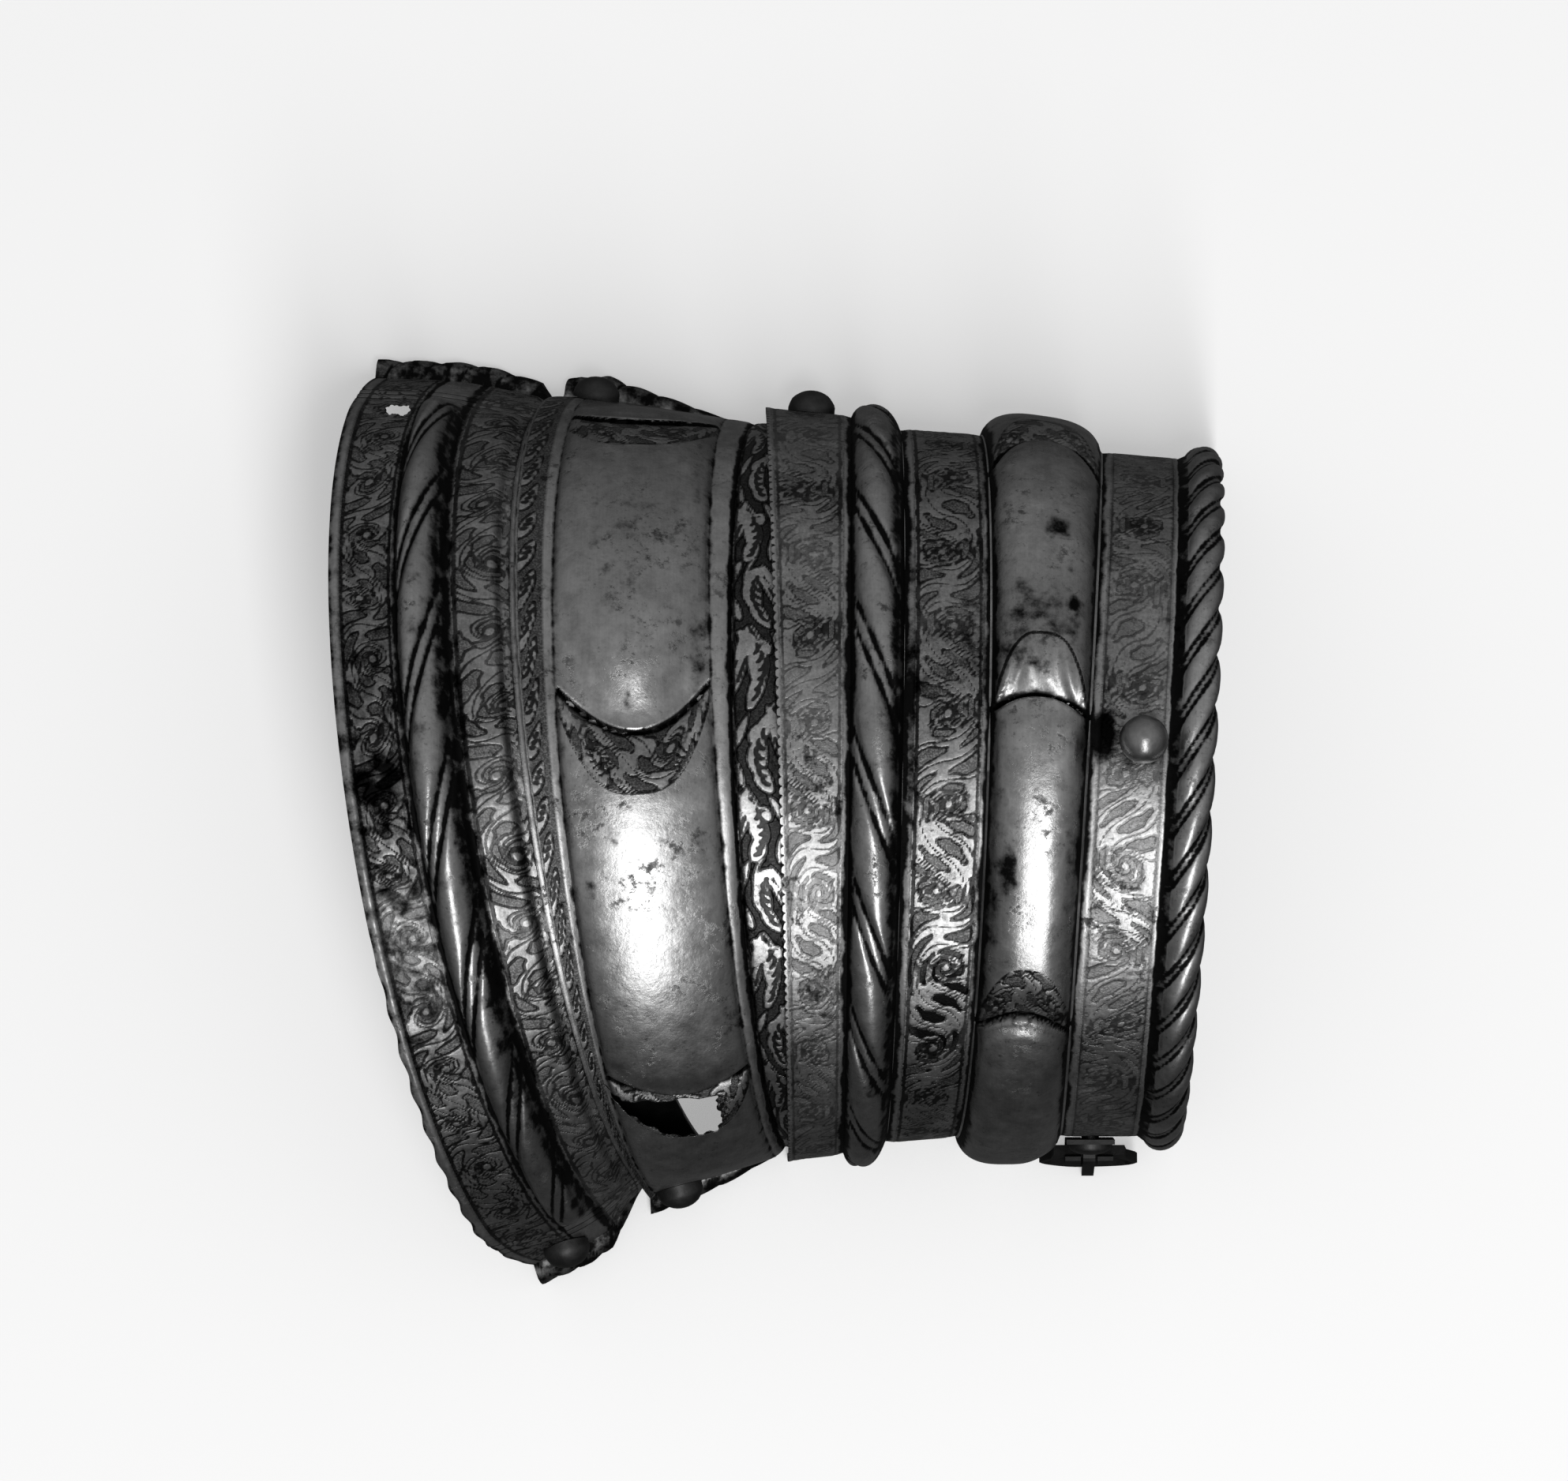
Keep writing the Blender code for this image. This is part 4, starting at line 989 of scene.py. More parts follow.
channel(lame, 2.95, 0.7, 0.3, 1.0)
for sunk, level, across in lame_crescents:
    lay_tile(lame, sunk > 0.3, scroll_tile, 6.0 + 12.0 * across, level, 0.55, 0.3, border=False)
rope_beads(lame, 5.0)
add_mark(lame, "dirt_and_shade", 0.7 * (1.0 - smooth(0.0, 0.06, lame.station)))
stain_all(lame, (
    (1.5, 45.0, (14.0, 24.0), 0.40), (0.85, 20.0, (2.2, 60.0), 0.35),
    (1.47, 15.5, (1.8, 5.0), 0.5), (2.5, -20.0, (3.0, 60.0), 0.30),
    (1.93, 22.0, (2.6, 12.0), 0.60), (1.92, 60.0, (1.8, 20.0), 0.5),
    (1.86, -8.0, (2.2, 6.0), 0.55), (1.12, -14.0, (1.6, 10.0), 0.5),
    (1.30, -6.0, (3.0, 4.0), 0.45), (1.90, -38.0, (2.2, 12.0), 0.55)))
middle_lame = plate_mesh("lame_sheet", lame)

# %% [markdown]
# ## The cuff
# The top plate has both: a rope, and a narrower puff with three slashes, between three
# bands of fine scroll. Its end over the lame is notched with a file. A notch only
# moves the first rows along the arm, so it needs no cutter.

# %% Cuff
cuff = PlateGrid(
    CUFF_RINGS, CUFF_HEMS, CUFF_EDGE,
    stations_of((0, 1, 28), (1, 2, 22), (2, 3, 32), (3, 4, 40), (4, 4.9, 28)), 461)
raise_rope(cuff, Rope(1.0, 2.0, 3.2, 22.5, -31.0, -3.0, 8.6))
CUFF_PUFF = Puff(3.0, 4.0, 4.6, 3.0, 15.6, (
    Slash(68.7, -9.0, 79.0, -19.0, 1.0, 2.5, 0.2, 0, 0.2),
    Slash(14.9, -2.9, 24.7, -12.7, 3.0, 4.5, 0.6, 7, 0.4),
    Slash(-37.0, -4.5, -28.2, -11.6, 2.0, 3.5, 0.4, 0, 0.4),
))
cuff_crescents = raise_puff(cuff, CUFF_PUFF)
cuff.form *= 1.0 - 0.5 * blot(cuff, 3.94, -98.0, (2.8, 13.0))   # room for the buckle
etch(cuff, 0.06, 0.90, fine_tile, wear=0.55, offset=4.0)
etch(cuff, 2.12, 2.92, fine_tile, wear=0.3, offset=17.0)
etch(cuff, 4.10, 4.86, fine_tile, wear=0.6, offset=40.0, flip=-1.0)
channel(cuff, 1.0, 1.0, 0.3, 1.0)
channel(cuff, 2.0, 1.2, 0.3, 1.0)
channel(cuff, 3.0, 1.2, 0.2, 1.0)
channel(cuff, 4.0, 1.1, 0.2, 1.0)
channel(cuff, 4.9, 0.4, 0.1, 1.0)
stain_all(cuff, (
    # the second and third spots darken the sheet round the ball stud
    (3.20, 26.0, (26.0, 15.0), 0.56), (4.60, 8.8, (5.6, 5.6), 0.9),
    (4.15, 10.0, (2.6, 4.5), 1.3), (3.62, 44.5, (3.2, 3.4), 0.72),
    (3.78, 30.5, (1.6, 2.2), 0.80), (3.10, -8.0, (2.4, 30.0), 0.48),
    (3.88, -12.0, (2.0, 30.0), 0.46), (1.6, 6.0, (4.0, 24.0), 0.42),
    (1.5, -54.0, (5.0, 16.0), 0.5), (2.08, 14.0, (1.6, 40.0), 0.75),
    (3.24, -13.0, (2.2, 5.5), 0.85), (3.10, -20.0, (2.0, 9.0), 0.65),
    (2.30, 16.0, (3.0, 7.0), 0.5), (3.95, -14.0, (1.8, 9.0), 0.6),
    (3.05, 20.0, (2.0, 14.0), 0.55), (1.95, -46.0, (1.6, 14.0), 0.7)))
stain_all(cuff, ((2.55, -38.6, (7.0, 14.0), 1.4),), "fill")
stain_all(cuff, ((4.5, -12.0, (9.0, 18.0), 0.8),), "polish")
stain_all(cuff, ((4.5, -4.0, (9.0, 18.0), 1.0),), "wear")
NOTCH = 1.6        # mm from notch to notch along the cuff's end
NOTCH_DEPTH = 0.35 # mm
notch = np.clip(np.cos(math.tau * cuff.along / NOTCH), 0.0, 1.0) * (
    1.0 - smooth(0.0, 0.07, cuff.station))
cuff.shift += NOTCH_DEPTH * notch
add_mark(cuff, "dirt_and_shade", notch)
top_crescent, _, low_crescent = cuff_crescents
for sunk, level, across in (top_crescent, low_crescent):
    lay_tile(cuff, sunk > 0.3, scroll_tile, 6.0 + 9.5 * across, level, 0.5, 0.4, border=False)

# %% [markdown]
# ## The roped roll
# The narrow end of the cuff is rolled outwards into a thick tube, roped like the
# ridges. A separate torus would leave a seam, so the outer face simply runs on: more
# rows follow the last ring, go round the tube and end behind the sheet.

# %% The roped roll
ROLL_RADIUS = 3.3  # mm
ROLL_SINK = 1.4    # mm that the tube's middle lies below the sheet's face
ROLL_STEPS = 30
roll_angle = np.repeat(
    np.radians(np.linspace(150.0, -187.0, ROLL_STEPS))[:, None], len(cuff.around), axis=1)
roll_along = np.repeat(cuff.along[-1:], ROLL_STEPS, axis=0)
roll_swell, roll_grooves = rope_strands(
    (math.pi - roll_angle) / math.tau, roll_along,
    Rope(0.0, 0.0, 0.0, 8.8, 28.0, 2.0, math.tau * ROLL_RADIUS))
roll_fade = np.sin(np.linspace(0.0, math.pi, ROLL_STEPS))[:, None] ** 0.5
roll_radius = ROLL_RADIUS - roll_fade * (0.9 * (1.0 - roll_swell) + 0.25 * roll_grooves)
roll_table = np.repeat(np.array([ROLL_RING], float), ROLL_STEPS, axis=0)
roll = on_rings(roll_table, roll_radius * np.sin(roll_angle) - ROLL_SINK, cuff.around)
roll[..., 0] += roll_radius * np.cos(roll_angle)
# painted shade: the grooves and the valleys between the strands are darkened, and so is the roll
# where it turns in against the sheet
near_sheet = smooth(140.0, 156.0, np.degrees(roll_angle))
roll_groove_shade = np.maximum(roll_grooves ** 0.8, 0.5 * (1.0 - roll_swell) ** 1.2)
print(f"roll: {2.0 * ROLL_RADIUS:.1f} mm thick with {ROLL_STEPS} rows of points")
roll_marks = {"dirt_and_shade": np.maximum(roll_groove_shade, near_sheet), "polish": 0.5 * (1.0 - near_sheet)}
cuff_plate = plate_mesh("cuff_sheet", cuff, roll, roll_marks)

for piece, body, node in ((flared_plate, "flared_plate", "flared_plate"),
                          (middle_lame, "middle_lame", "middle_lame"),
                          (cuff_plate, "cuff", "cuff_plate")):
    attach(piece, body)
    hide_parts(node)


# %% [markdown]
# ## Rivets, stud and holes
# A rivet's head was struck over by hand, so it is round but a little uneven. The Screw
# modifier would turn its profile into a perfectly round piece. Here each ring of
# points takes its own small dents while the profile goes round the axis. The places
# come from rays onto the finished plates, as for the solid ones, so each head sits on
# its own curved face.

# %% Turned pieces
SIDES = 36
HEAD_RADIUS = 4.0    # all in mm
HEAD_HEIGHT = 3.2
SHANK_RADIUS = 1.5
HOLE_RADIUS = 1.8
BURR_RADIUS = 2.7    # the burr is the struck end on the inside
BURR_HEIGHT = 0.9
BURR_TAPER = 0.8     # its far end, as a share of its radius
SEAT_GAP = 0.5       # the head's rim stands this far off the curved face


def turned(name, profile, place, normal, uneven=0.0):
    """A closed turned piece standing on a face; the profile is (radius, z) from the top."""
    bm = bmesh.new()
    rings = []
    for number, (radius, z) in enumerate(profile[1:-1]):
        ring = []
        for step in range(SIDES):
            angle = math.tau * step / SIDES
            dent = 1.0 - uneven * (0.5 + 0.5 * math.sin(3.0 * angle + number) * math.cos(
                2.0 * angle - 0.7 * number))
            ring.append(bm.verts.new(Vector((
                radius * dent * math.cos(angle), radius * dent * math.sin(angle), z)) * MM))
        rings.append(ring)
    first = bm.verts.new((0.0, 0.0, profile[0][1] * MM))
    last = bm.verts.new((0.0, 0.0, profile[-1][1] * MM))
    for step in range(SIDES):
        after = (step + 1) % SIDES
        bm.faces.new((first, rings[0][step], rings[0][after]))
        bm.faces.new((last, rings[-1][after], rings[-1][step]))
        for high, low in zip(rings, rings[1:]):
            bm.faces.new((high[after], high[step], low[step], low[after]))
    mesh = bpy.data.meshes.new(name)
    bm.transform(stand_on(place, normal))
    bmesh.ops.recalc_face_normals(bm, faces=bm.faces)
    bm.to_mesh(mesh)
    bm.free()
    mesh.shade_smooth()
    mesh.set_sharp_from_angle(angle=SMOOTH_ANGLE)
    print(f"{name}: {len(mesh.vertices)} points")
    return placed(name, mesh)


def dome_profile(radius, height, middle, lowest):
    """A dome as (radius, z) every 10 degrees, from its top down to the lowest angle."""
    angles = [math.radians(a) for a in range(90, lowest - 1, -10)]
    return [(radius * math.cos(a), middle + height * math.sin(a)) for a in angles]


def shank_profile(top, burr):
    """Shank and burr as (radius, z); the burr starts at the given height."""
    return [(SHANK_RADIUS, top), (SHANK_RADIUS, burr), (BURR_RADIUS, burr),
            (BURR_RADIUS * BURR_TAPER, burr - BURR_HEIGHT), (0.0, burr - BURR_HEIGHT)]


def rivet_profile(grip, head=HEAD_RADIUS, height=HEAD_HEIGHT):
    """Head, shank and burr of a rivet that holds grip mm together."""
    return (dome_profile(head, height, SEAT_GAP, 0) + [(head, 0.0)]
            + shank_profile(0.0, -grip - SEAT_GAP))


STUD_RADIUS = 3.95
STUD_REACH = 5.4     # height of the ball's middle
STUD_FOOT = [(1.9, 1.8), (1.9, 1.2), (2.6, 1.1), (3.1, 0.9), (3.1, 0.5)]
stud_profile = (dome_profile(STUD_RADIUS, STUD_RADIUS, STUD_REACH, -50) + STUD_FOOT
                + shank_profile(0.5, -1.5))

# %% Places of the rivets, stud and holes
SPOTS = {
    "rivet_flare_left": side_face(middle_lame, -31.0, 8.8, 1.0),
    "rivet_flare_right": side_face(middle_lame, -17.1, 8.8, -1.0),
    "rivet_cuff_left": side_face(cuff_plate, 5.0, 12.0, 1.0),
    "lost_cuff_rivet": side_face(cuff_plate, 5.0, 12.0, -1.0),
    "rivet_corner": side_face(flared_plate, -36.0, 11.0, -1.0),
    "ball_stud": face_at(cuff_plate, (57.9, 13.0, FAR), (0.0, 0.0, -1.0)),
}
buckle_place, _ = side_face(cuff_plate, 51.4, 14.5, -1.0)
SPOTS["buckle_rivet"] = (buckle_place, Vector((0.0, -1.0, 0.0)))

HOLES = (
    (flared_plate, ("rivet_flare_left", "rivet_flare_right", "rivet_corner")),
    (middle_lame, ("rivet_flare_left", "rivet_flare_right", "rivet_cuff_left", "lost_cuff_rivet")),
    (cuff_plate, ("rivet_cuff_left", "lost_cuff_rivet", "ball_stud", "buckle_rivet")),
)
# the torn hole and the slash that rust has eaten through, seen from above: x, y
TORN_HOLE = [
    (-65.6, 68.7), (-64.6, 69.3), (-63.2, 69.0), (-61.7, 69.2), (-61.3, 68.1), (-62.4, 67.2),
    (-63.8, 67.6), (-64.9, 67.4),
]
RUST_HOLE = [
    (-29.0, -42.0), (-26.0, -45.0), (-19.5, -45.2), (-10.4, -44.2),
    (-10.6, -46.0), (-9.7, -48.0), (-10.4, -50.2), (-14.2, -50.9),
    (-18.3, -50.8), (-22.5, -48.9), (-26.0, -46.2),
]
# plate, outline, heights between which it is cut, and how unevenly it is eaten at
RAGGED_HOLES = (
    (middle_lame, RUST_HOLE, (18.0, 62.0), 0.32),
    (flared_plate, TORN_HOLE, (20.0, 45.0), 0.12),
)


def ragged_line(outline, wobble, steps=6):
    """An outline with more points, eaten at unevenly."""
    made = []
    for number, ((ax, ay), (bx, by)) in enumerate(zip(outline, outline[1:] + outline[:1])):
        for step in range(steps):
            share = step / steps
            bite = wobble * math.sin(math.pi * share) * math.sin(9.0 * share + 2.3 * number)
            length = math.hypot(bx - ax, by - ay)
            made.append((ax + (bx - ax) * share - bite * (by - ay) / length,
                         ay + (by - ay) * share + bite * (bx - ax) / length))
    return made


# %% Cut the holes
for piece, spots in HOLES:
    cutter = bmesh.new()
    for spot in spots:
        add_drill(cutter, *SPOTS[spot], HOLE_RADIUS)
    for plate, outline, depth, wobble in RAGGED_HOLES:
        if piece == plate:
            ragged = ragged_line(outline, wobble)
            prism(cutter, *[[Vector((x, y, z)) * MM for x, y in ragged] for z in depth])
    cut(piece, cutter)

# %% Set rivets and stud in their holes
FLARE_GRIP, CORNER_GRIP, CUFF_GRIP = 3.3, 1.5, 3.0
CHAPE_STANDOFF = 1.25
seat, outwards = SPOTS["buckle_rivet"]
SPOTS["buckle_rivet"] = (seat + outwards * CHAPE_STANDOFF * MM, outwards)
# node, profile, how uneven it is, body, material slot
TURNED = (
    ("rivet_flare_left", rivet_profile(FLARE_GRIP), 0.05, "middle_lame", "dark_iron"),
    ("rivet_flare_right", rivet_profile(FLARE_GRIP), 0.05, "middle_lame", "dark_iron"),
    ("rivet_corner", rivet_profile(CORNER_GRIP), 0.05, "flared_plate", "dark_iron"),
    ("rivet_cuff_left", rivet_profile(CUFF_GRIP), 0.05, "cuff", "dark_iron"),
    ("buckle_rivet", rivet_profile(1.0 + CHAPE_STANDOFF, 3.6, 1.4), 0.04, "cuff", "dark_iron"),
    ("ball_stud", stud_profile, 0.012, "cuff", "polished_iron"),
)
fittings = {}
for node, profile, uneven, body, slot in TURNED:
    fittings[node] = turned(node + "_turned", profile, *SPOTS[node], uneven)
    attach(fittings[node], body)
    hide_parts(node)

# %% [markdown]
# ## Buckle
# The small buckle that held the strap is cut and bent from iron. Its three solids
# already have their true shape and swing on their own joints, so they stay. A Bevel
# modifier gives them worn edges, since a real edge always catches some light.

# %% Buckle
BUCKLE = ("buckle_chape", "buckle_frame", "buckle_tongue")
WORN_EDGE = 0.25   # mm
for name in BUCKLE:
    bevel = nodes[name].modifiers.new("worn edges", "BEVEL")
    bevel.width = WORN_EDGE * MM
    bevel.segments = 2
    bevel.limit_method = "ANGLE"
print("worn edges on", ", ".join(BUCKLE))


# %% [markdown]
# ## Finishes
# A finish is a graph of nodes. Wired by hand, a graph of a hundred nodes is hard to
# read and to change. The helper below adds nodes by plain calls, so that each finish
# reads as a list of what lies on the metal. Every pattern takes its place from the
# object itself, in mm, so nothing swims when a plate moves.

# %% A helper for node graphs
def add_node(tree, kind, values, **settings):
    """A node with its settings; a value is a number, or a socket that gets linked."""
    node = tree.nodes.new("ShaderNode" + kind)
    for name, setting in settings.items():
        setattr(node, name, setting)
    for socket, value in values.items():
        if isinstance(value, bpy.types.NodeSocket):
            tree.links.new(value, node.inputs[socket])
        else:
            node.inputs[socket].default_value = value
    return node


class Finish:
    """A metal whose grey tone, roughness and fine relief come from patterns."""

    def __init__(self, name):
        self.material = bpy.data.materials.new(name)
        self.material.use_nodes = True
        self.tree = self.material.node_tree
        self.shader = self.tree.nodes["Principled BSDF"]
        self.shader.inputs["Metallic"].default_value = 1.0
        self.place = self.tree.nodes.new("ShaderNodeTexCoord").outputs["Object"]

    def math(self, operation, a, b):
        return add_node(self.tree, "Math", {0: a, 1: b}, operation=operation).outputs[0]

    def times(self, first, *others):
        for other in others:
            first = self.math("MULTIPLY", first, other)
        return first

    def plus(self, first, *others):
        for other in others:
            first = self.math("ADD", first, other)
        return first

    def swing(self, pattern, amount):
        """A pattern from 0 to 1 as a change of half the amount down and up."""
        return self.times(self.plus(pattern, -0.5), amount)

    def blend(self, share, a, b):
        """a where share is 0, b where it is 1."""
        return add_node(self.tree, "Mix", {0: share, 2: a, 3: b}, data_type="FLOAT").outputs[0]

    def step(self, low, high, value):
        """A soft step from 0 at low to 1 at high."""
        return add_node(
            self.tree, "MapRange", {"Value": value, "From Min": low, "From Max": high},
            interpolation_type="SMOOTHSTEP").outputs["Result"]

    def noise(self, size, detail=3.0, rough=0.5, stretch=(1.0, 1.0, 1.0), offset=0.0):
        """Cloudy noise from 0 to 1 with features of a size in mm."""
        mapping = add_node(self.tree, "Mapping", {
            "Vector": self.place, "Scale": [1.0 / (s * size * MM) for s in stretch],
            "Location": (offset, offset * 0.7, offset * 1.3)})
        return add_node(self.tree, "TexNoise", {
            "Vector": mapping.outputs["Vector"], "Scale": 1.0, "Detail": detail,
            "Roughness": rough}).outputs["Fac"]

    def mark(self, name):
        """One of the marks that the plates carry."""
        return add_node(self.tree, "Attribute", {}, attribute_name=name).outputs["Fac"]

    def paint(self, tone, rough, height):
        """Feed the shader: a grey tone, a roughness, and a height in mm for the bump."""
        grey = add_node(self.tree, "CombineColor", {0: tone, 1: tone, 2: tone})
        bump = add_node(self.tree, "Bump", {"Distance": MM, "Height": height})
        for name, value in (("Base Color", grey.outputs[0]), ("Roughness", rough),
                            ("Normal", bump.outputs["Normal"])):
            self.tree.links.new(value, self.shader.inputs[name])
        print(f"{self.material.name}: {len(self.tree.nodes)} nodes")
        return self.material


# %% [markdown]
# ## Etched steel
# The plates are old bright steel. Leaves in the etched bands keep the polished skin,
# and the ground between them is matt and stippled, or blackened where the fill mark
# says so. Thin lines are cut round the leaves. Dirt and painted shade darken creases,
# grooves and the steel under lips, rust has left patches and specks, and some bands
# are rubbed until little of the etching shows. The plates carry marks for all of
# that, so the finish only has to say what each mark looks like. Each band could have
# a material of its own, but one for all leaves no hard borders. Colour is left out,
# because such steel is a neutral grey.

# %% Etched steel: patterns
steel = Finish("etched_steel_finish")
clouds = steel.noise(14.0, 4.0, 0.55)
stains = steel.noise(3.2, 6.0, 0.62, offset=5.0)
grain = steel.noise(0.55, 4.0, 0.65)
streaks = steel.noise(1.0, 3.0, 0.5, stretch=(0.3, 5.0, 5.0))
leaf, line, band, fill, dirt_and_shade, polish, wear = [steel.mark(name) for name in MARKS]
unsteady = steel.swing(grain, 0.25)
rubbed = steel.step(0.35, 0.75, steel.plus(steel.times(wear, 0.8), clouds, -0.36))
ground = steel.times(band, steel.step(-0.02, 0.10, steel.plus(leaf, unsteady)))
cut_line = steel.times(
    steel.step(0.36, 0.16, steel.plus(line, unsteady)), steel.blend(rubbed, 0.97, 0.50))
stipple = steel.step(0.44, 0.60, steel.noise(0.32, 2.0, 0.5, offset=2.0))
# dirt and painted shade: the darkening mark, mottled by the stains, holds real dirt and painted
# shade in grooves, on shaded sides and under lips
dirt_and_shade_level = steel.times(
    steel.step(0.30, 0.80, steel.plus(dirt_and_shade, steel.swing(stains, 1.3))),
    steel.step(0.02, 0.25, dirt_and_shade))
patch = steel.times(steel.step(0.52, 0.66, steel.noise(2.2, 7.0, 0.72, offset=9.0)),
                    steel.step(0.44, 0.64, steel.noise(9.0, 3.0, 0.5, offset=3.0)))
specks = steel.times(steel.step(0.56, 0.66, steel.noise(0.9, 5.0, 0.75, offset=7.0)),
                     steel.step(0.40, 0.62, steel.noise(6.0, 4.0, 0.6, offset=1.0)))
print("patterns on the steel:", len(steel.tree.nodes), "nodes")

# %% Etched steel: tone, roughness and height
bare = steel.times(
    steel.blend(polish, 0.45, 0.40),
    steel.blend(clouds, 0.55, 1.40),
    steel.blend(stains, 0.40, 1.50),
    steel.blend(streaks, 0.85, 1.12),
    steel.blend(grain, steel.blend(band, 0.80, 0.30), steel.blend(band, 1.18, 1.65)),
    steel.blend(band, 1.0, steel.blend(fill, 0.75, 1.0)))
sunk_tone = steel.times(bare, steel.blend(stipple, 0.35, 0.75))
sunk_tone = steel.blend(rubbed, sunk_tone, steel.times(bare, 0.85))
sunk_tone = steel.blend(fill, sunk_tone, 0.010)
# the darkening of dirt and painted shade takes the tone down to 0.02
tone = steel.times(
    steel.blend(ground, bare, sunk_tone),
    steel.blend(cut_line, 1.0, 0.06),
    steel.blend(patch, 1.0, 0.30),
    steel.blend(specks, 1.0, 0.45),
    steel.blend(dirt_and_shade_level, 1.0, 0.02))
rough = steel.plus(
    steel.blend(polish, 0.37, 0.29),
    steel.times(ground, 0.12),
    steel.times(steel.math("MAXIMUM", dirt_and_shade_level, patch), 0.30),
    steel.swing(stains, 0.16))
height = steel.plus(
    steel.times(cut_line, -0.05),
    steel.times(stipple, ground, 0.02),
    steel.times(grain, 0.018),
    steel.times(patch, -0.04),
    steel.times(stains, 0.09))
steel_material = steel.paint(tone, rough, height)

# %% [markdown]
# ## Irons
# Rivets, stud and buckle are plain iron: dark where it was left black from the fire,
# brighter on the ball that a strap has rubbed. Each could be wired by hand, but cloudy
# oxide and small pits are enough at their size, so one helper makes all three from
# four numbers.

# %% Irons
def iron(name, dark, light, rough_low, rough_high):
    """Black or dark iron with cloudy oxide and a pitted skin."""
    made = Finish(name)
    oxide = made.noise(2.2, 5.0, 0.6, offset=4.0)
    pits = made.noise(0.4, 2.0, 0.5)
    tone = made.blend(oxide, dark, light)
    height = made.plus(made.times(oxide, 0.08), made.times(pits, 0.02))
    return made.paint(tone, made.blend(oxide, rough_low, rough_high), height)


dark_iron = iron("dark_iron_finish", 0.02, 0.10, 0.42, 0.60)
black_iron = iron("blackened_iron_finish", 0.015, 0.06, 0.45, 0.65)
ball_iron = iron("polished_iron_finish", 0.14, 0.42, 0.26, 0.38)

# %% Give every piece its finish
for piece in (flared_plate, middle_lame, cuff_plate):
    piece.data.materials.clear()
    piece.data.materials.append(steel_material)
for node, piece in fittings.items():
    piece.data.materials.append(ball_iron if node == "ball_stud" else dark_iron)
for name in BUCKLE:
    nodes[name].material_slots[0].material = black_iron
print("finished:", 3 + len(fittings) + len(BUCKLE), "pieces")


# %% [markdown]
# ## Floor
# The piece lies on pale paper. A bare white background would catch no shadow, so the
# paper is a real sheet. In a room it is lit from all round, which a small glow of its
# own stands in for. The steel would mirror the whole white floor along its flanks,
# where a real one mirrors a dim room, so the floor is kept out of reflections.

# %% Floor
FLOOR_REACH = 2.0    # metres from the middle to a side
FLOOR_GAP = 0.0002   # metres below the plates' edges
floor_mesh = bpy.data.meshes.new("floor")
floor_mesh.from_pydata(
    [(x * FLOOR_REACH, y * FLOOR_REACH, 0.0) for x, y in ((-1, -1), (1, -1), (1, 1), (-1, 1))],
    [], [(0, 1, 2, 3)])
floor = placed("floor", floor_mesh)
floor.location.z = -FLOOR_GAP
paper = bpy.data.materials.new("pale_paper")
paper.use_nodes = True
paper_shader = paper.node_tree.nodes["Principled BSDF"]
paper_shader.inputs["Base Color"].default_value = (0.85, 0.85, 0.85, 1)
paper_shader.inputs["Roughness"].default_value = 0.9
paper_shader.inputs["Emission Color"].default_value = (1, 1, 1, 1)
paper_shader.inputs["Emission Strength"].default_value = 0.33
floor_mesh.materials.append(paper)
floor.visible_glossy = False
floor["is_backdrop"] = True
print(f"floor: {2.0 * FLOOR_REACH:.0f} m wide")

# %% [markdown]
# ## Sky and lamp
# Polished steel shows what stands round it more than its own tone. A sky that is pale
# on one side and dim on the other gives the grey sheen, darker down the flanks. One
# long soft lamp along the arm gives the bright streak that every ridge bends in its
# own way. Three lamps of one size would give three streaks, and the real piece shows
# one.

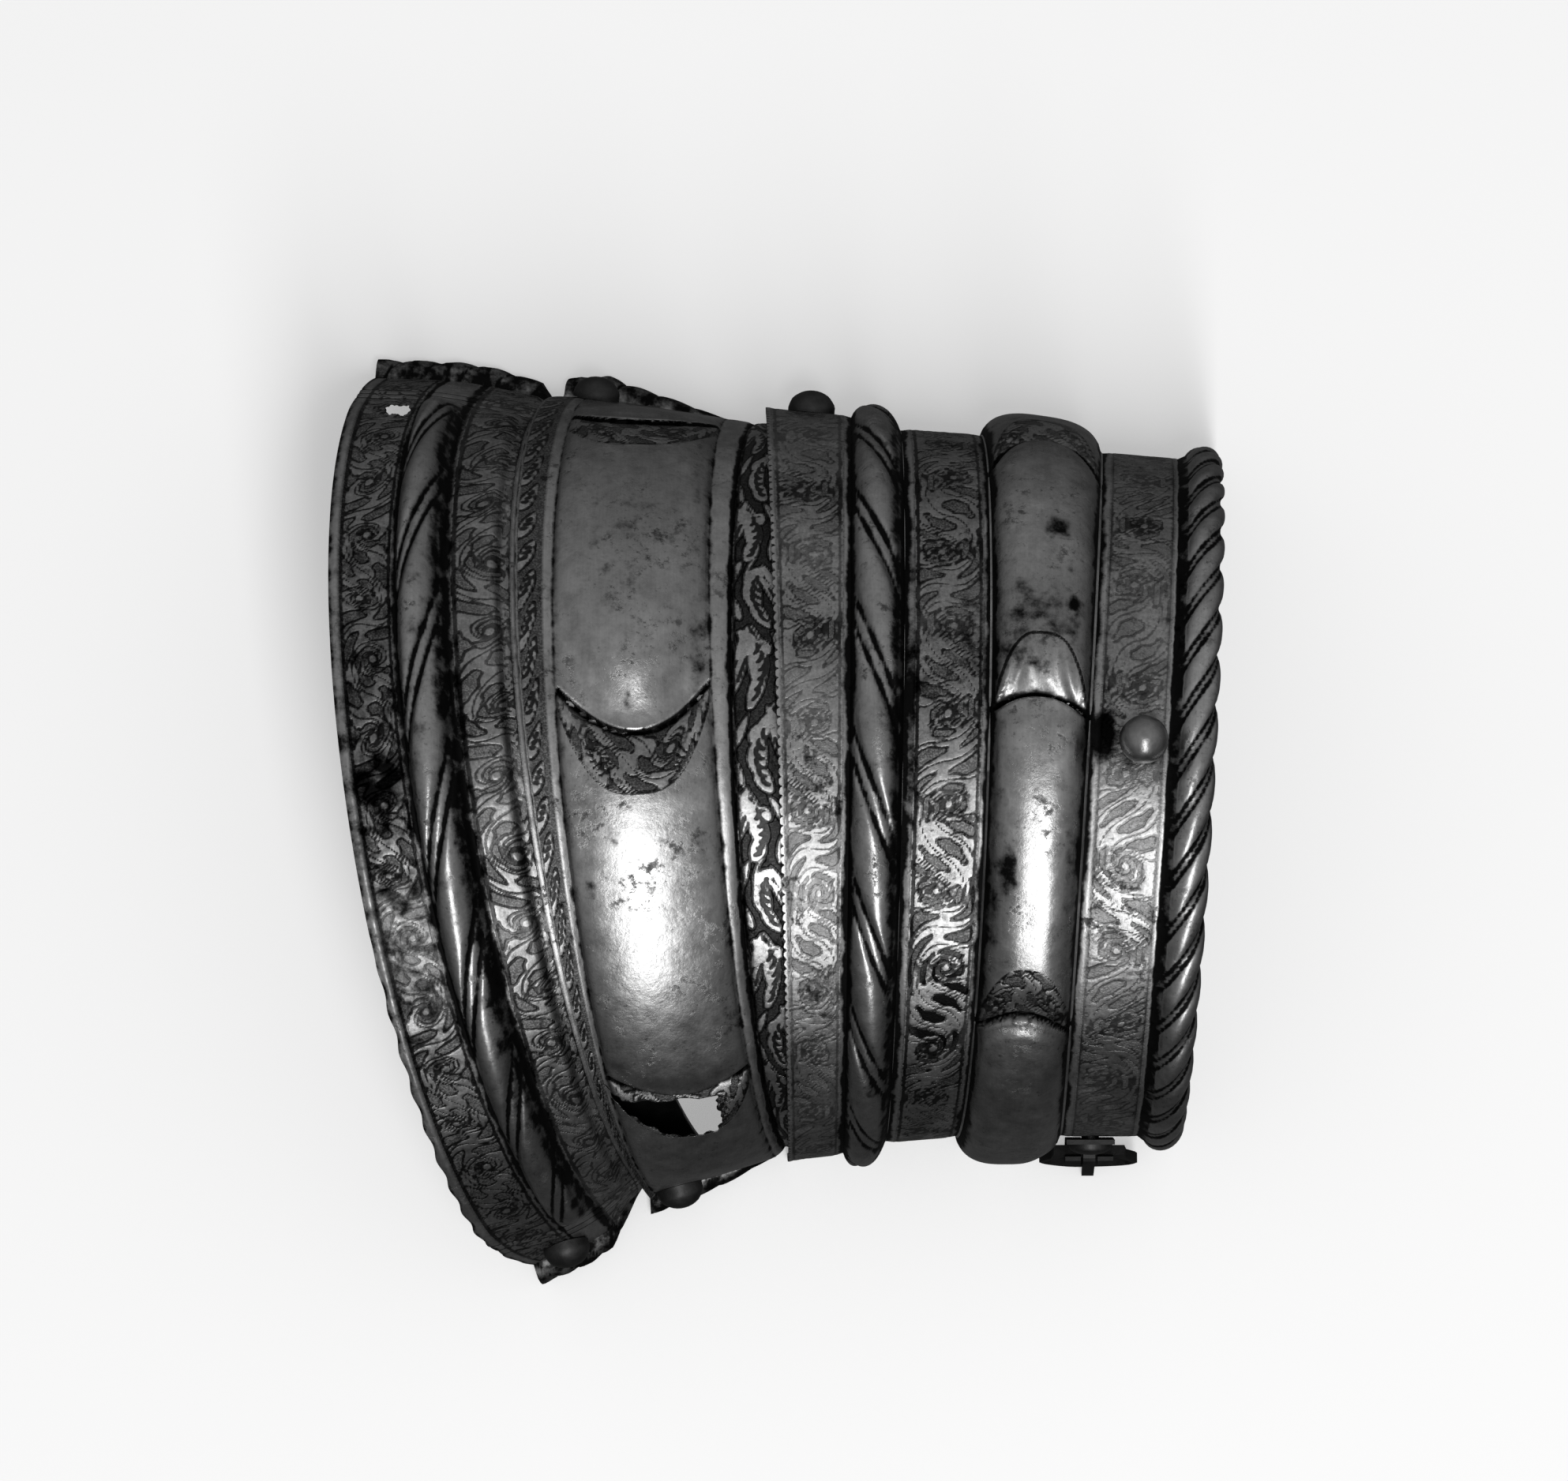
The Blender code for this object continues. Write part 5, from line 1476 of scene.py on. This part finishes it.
# %% Sky
SKY_TILT = math.radians(-20)
SKY_FROM, SKY_TO = 0.06, 0.43   # brightness of the dim side and of the pale side
world = bpy.data.worlds.new("studio")
world.use_nodes = True
sky = world.node_tree
direction = add_node(sky, "TexCoord", {}).outputs["Generated"]
towards = add_node(sky, "VectorMath", {
    0: direction, 1: (0.0, -math.sin(SKY_TILT), math.cos(SKY_TILT))}, operation="DOT_PRODUCT")
rise = add_node(sky, "MapRange", {
    "Value": towards.outputs["Value"], "From Min": -0.4, "From Max": 0.9,
    "To Min": SKY_FROM, "To Max": SKY_TO})
sky.links.new(rise.outputs["Result"], sky.nodes["Background"].inputs["Strength"])
sky.nodes["Background"].inputs["Color"].default_value = (1, 1, 1, 1)
bpy.context.scene.world = world
print("sky: strength from", SKY_FROM, "to", SKY_TO)

# %% Lamp
LAMP_SIZE = (0.26, 1.40)   # metres
LAMP_AWAY = 1.5            # metres
LAMP_TILT = math.radians(29)
LAMP_X = 0.18              # metres towards the narrow end
lamp = bpy.data.lights.new("key", "AREA")
lamp.shape = "RECTANGLE"
lamp.size, lamp.size_y = LAMP_SIZE
lamp.energy = 11.0
key = placed("key", lamp)
key.location = (LAMP_X, -LAMP_AWAY * math.sin(LAMP_TILT), LAMP_AWAY * math.cos(LAMP_TILT))
key.rotation_euler = (LAMP_TILT, 0, 0)
print(f"lamp: {lamp.energy:.0f} W, {LAMP_AWAY} m away")

# %% [markdown]
# ## Camera
# The camera looks straight down from above the middle, so that all three plates show
# their ornament. A long lens from far away keeps the rings' true shape, where a short
# one would bulge them. The Standard view keeps blacks black and whites white.

# %% Camera
CAMERA_AT = (0.4, 13.65, 1500.0)   # mm
camera_data = bpy.data.cameras.new("camera")
camera_data.sensor_width = 36.0
camera_data.lens = 204.7
camera = placed("camera", camera_data)
camera.location = Vector(CAMERA_AT) * MM
bpy.context.scene.camera = camera
bpy.context.scene.view_settings.view_transform = "Standard"
print(f"camera: {math.degrees(camera_data.angle):.1f} degrees wide")

# %% [markdown]
# ## Sizes
# Both boxes are printed, that of the plain solids and that of what is seen now, and
# they can be compared.

# %% Sizes
visual_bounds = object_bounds()
for name, (low, high) in (("cad", cad_bounds), ("visual", visual_bounds)):
    print(name, "box in mm:", " x ".join(f"{(b - a) / MM:.1f}" for a, b in zip(low, high)))
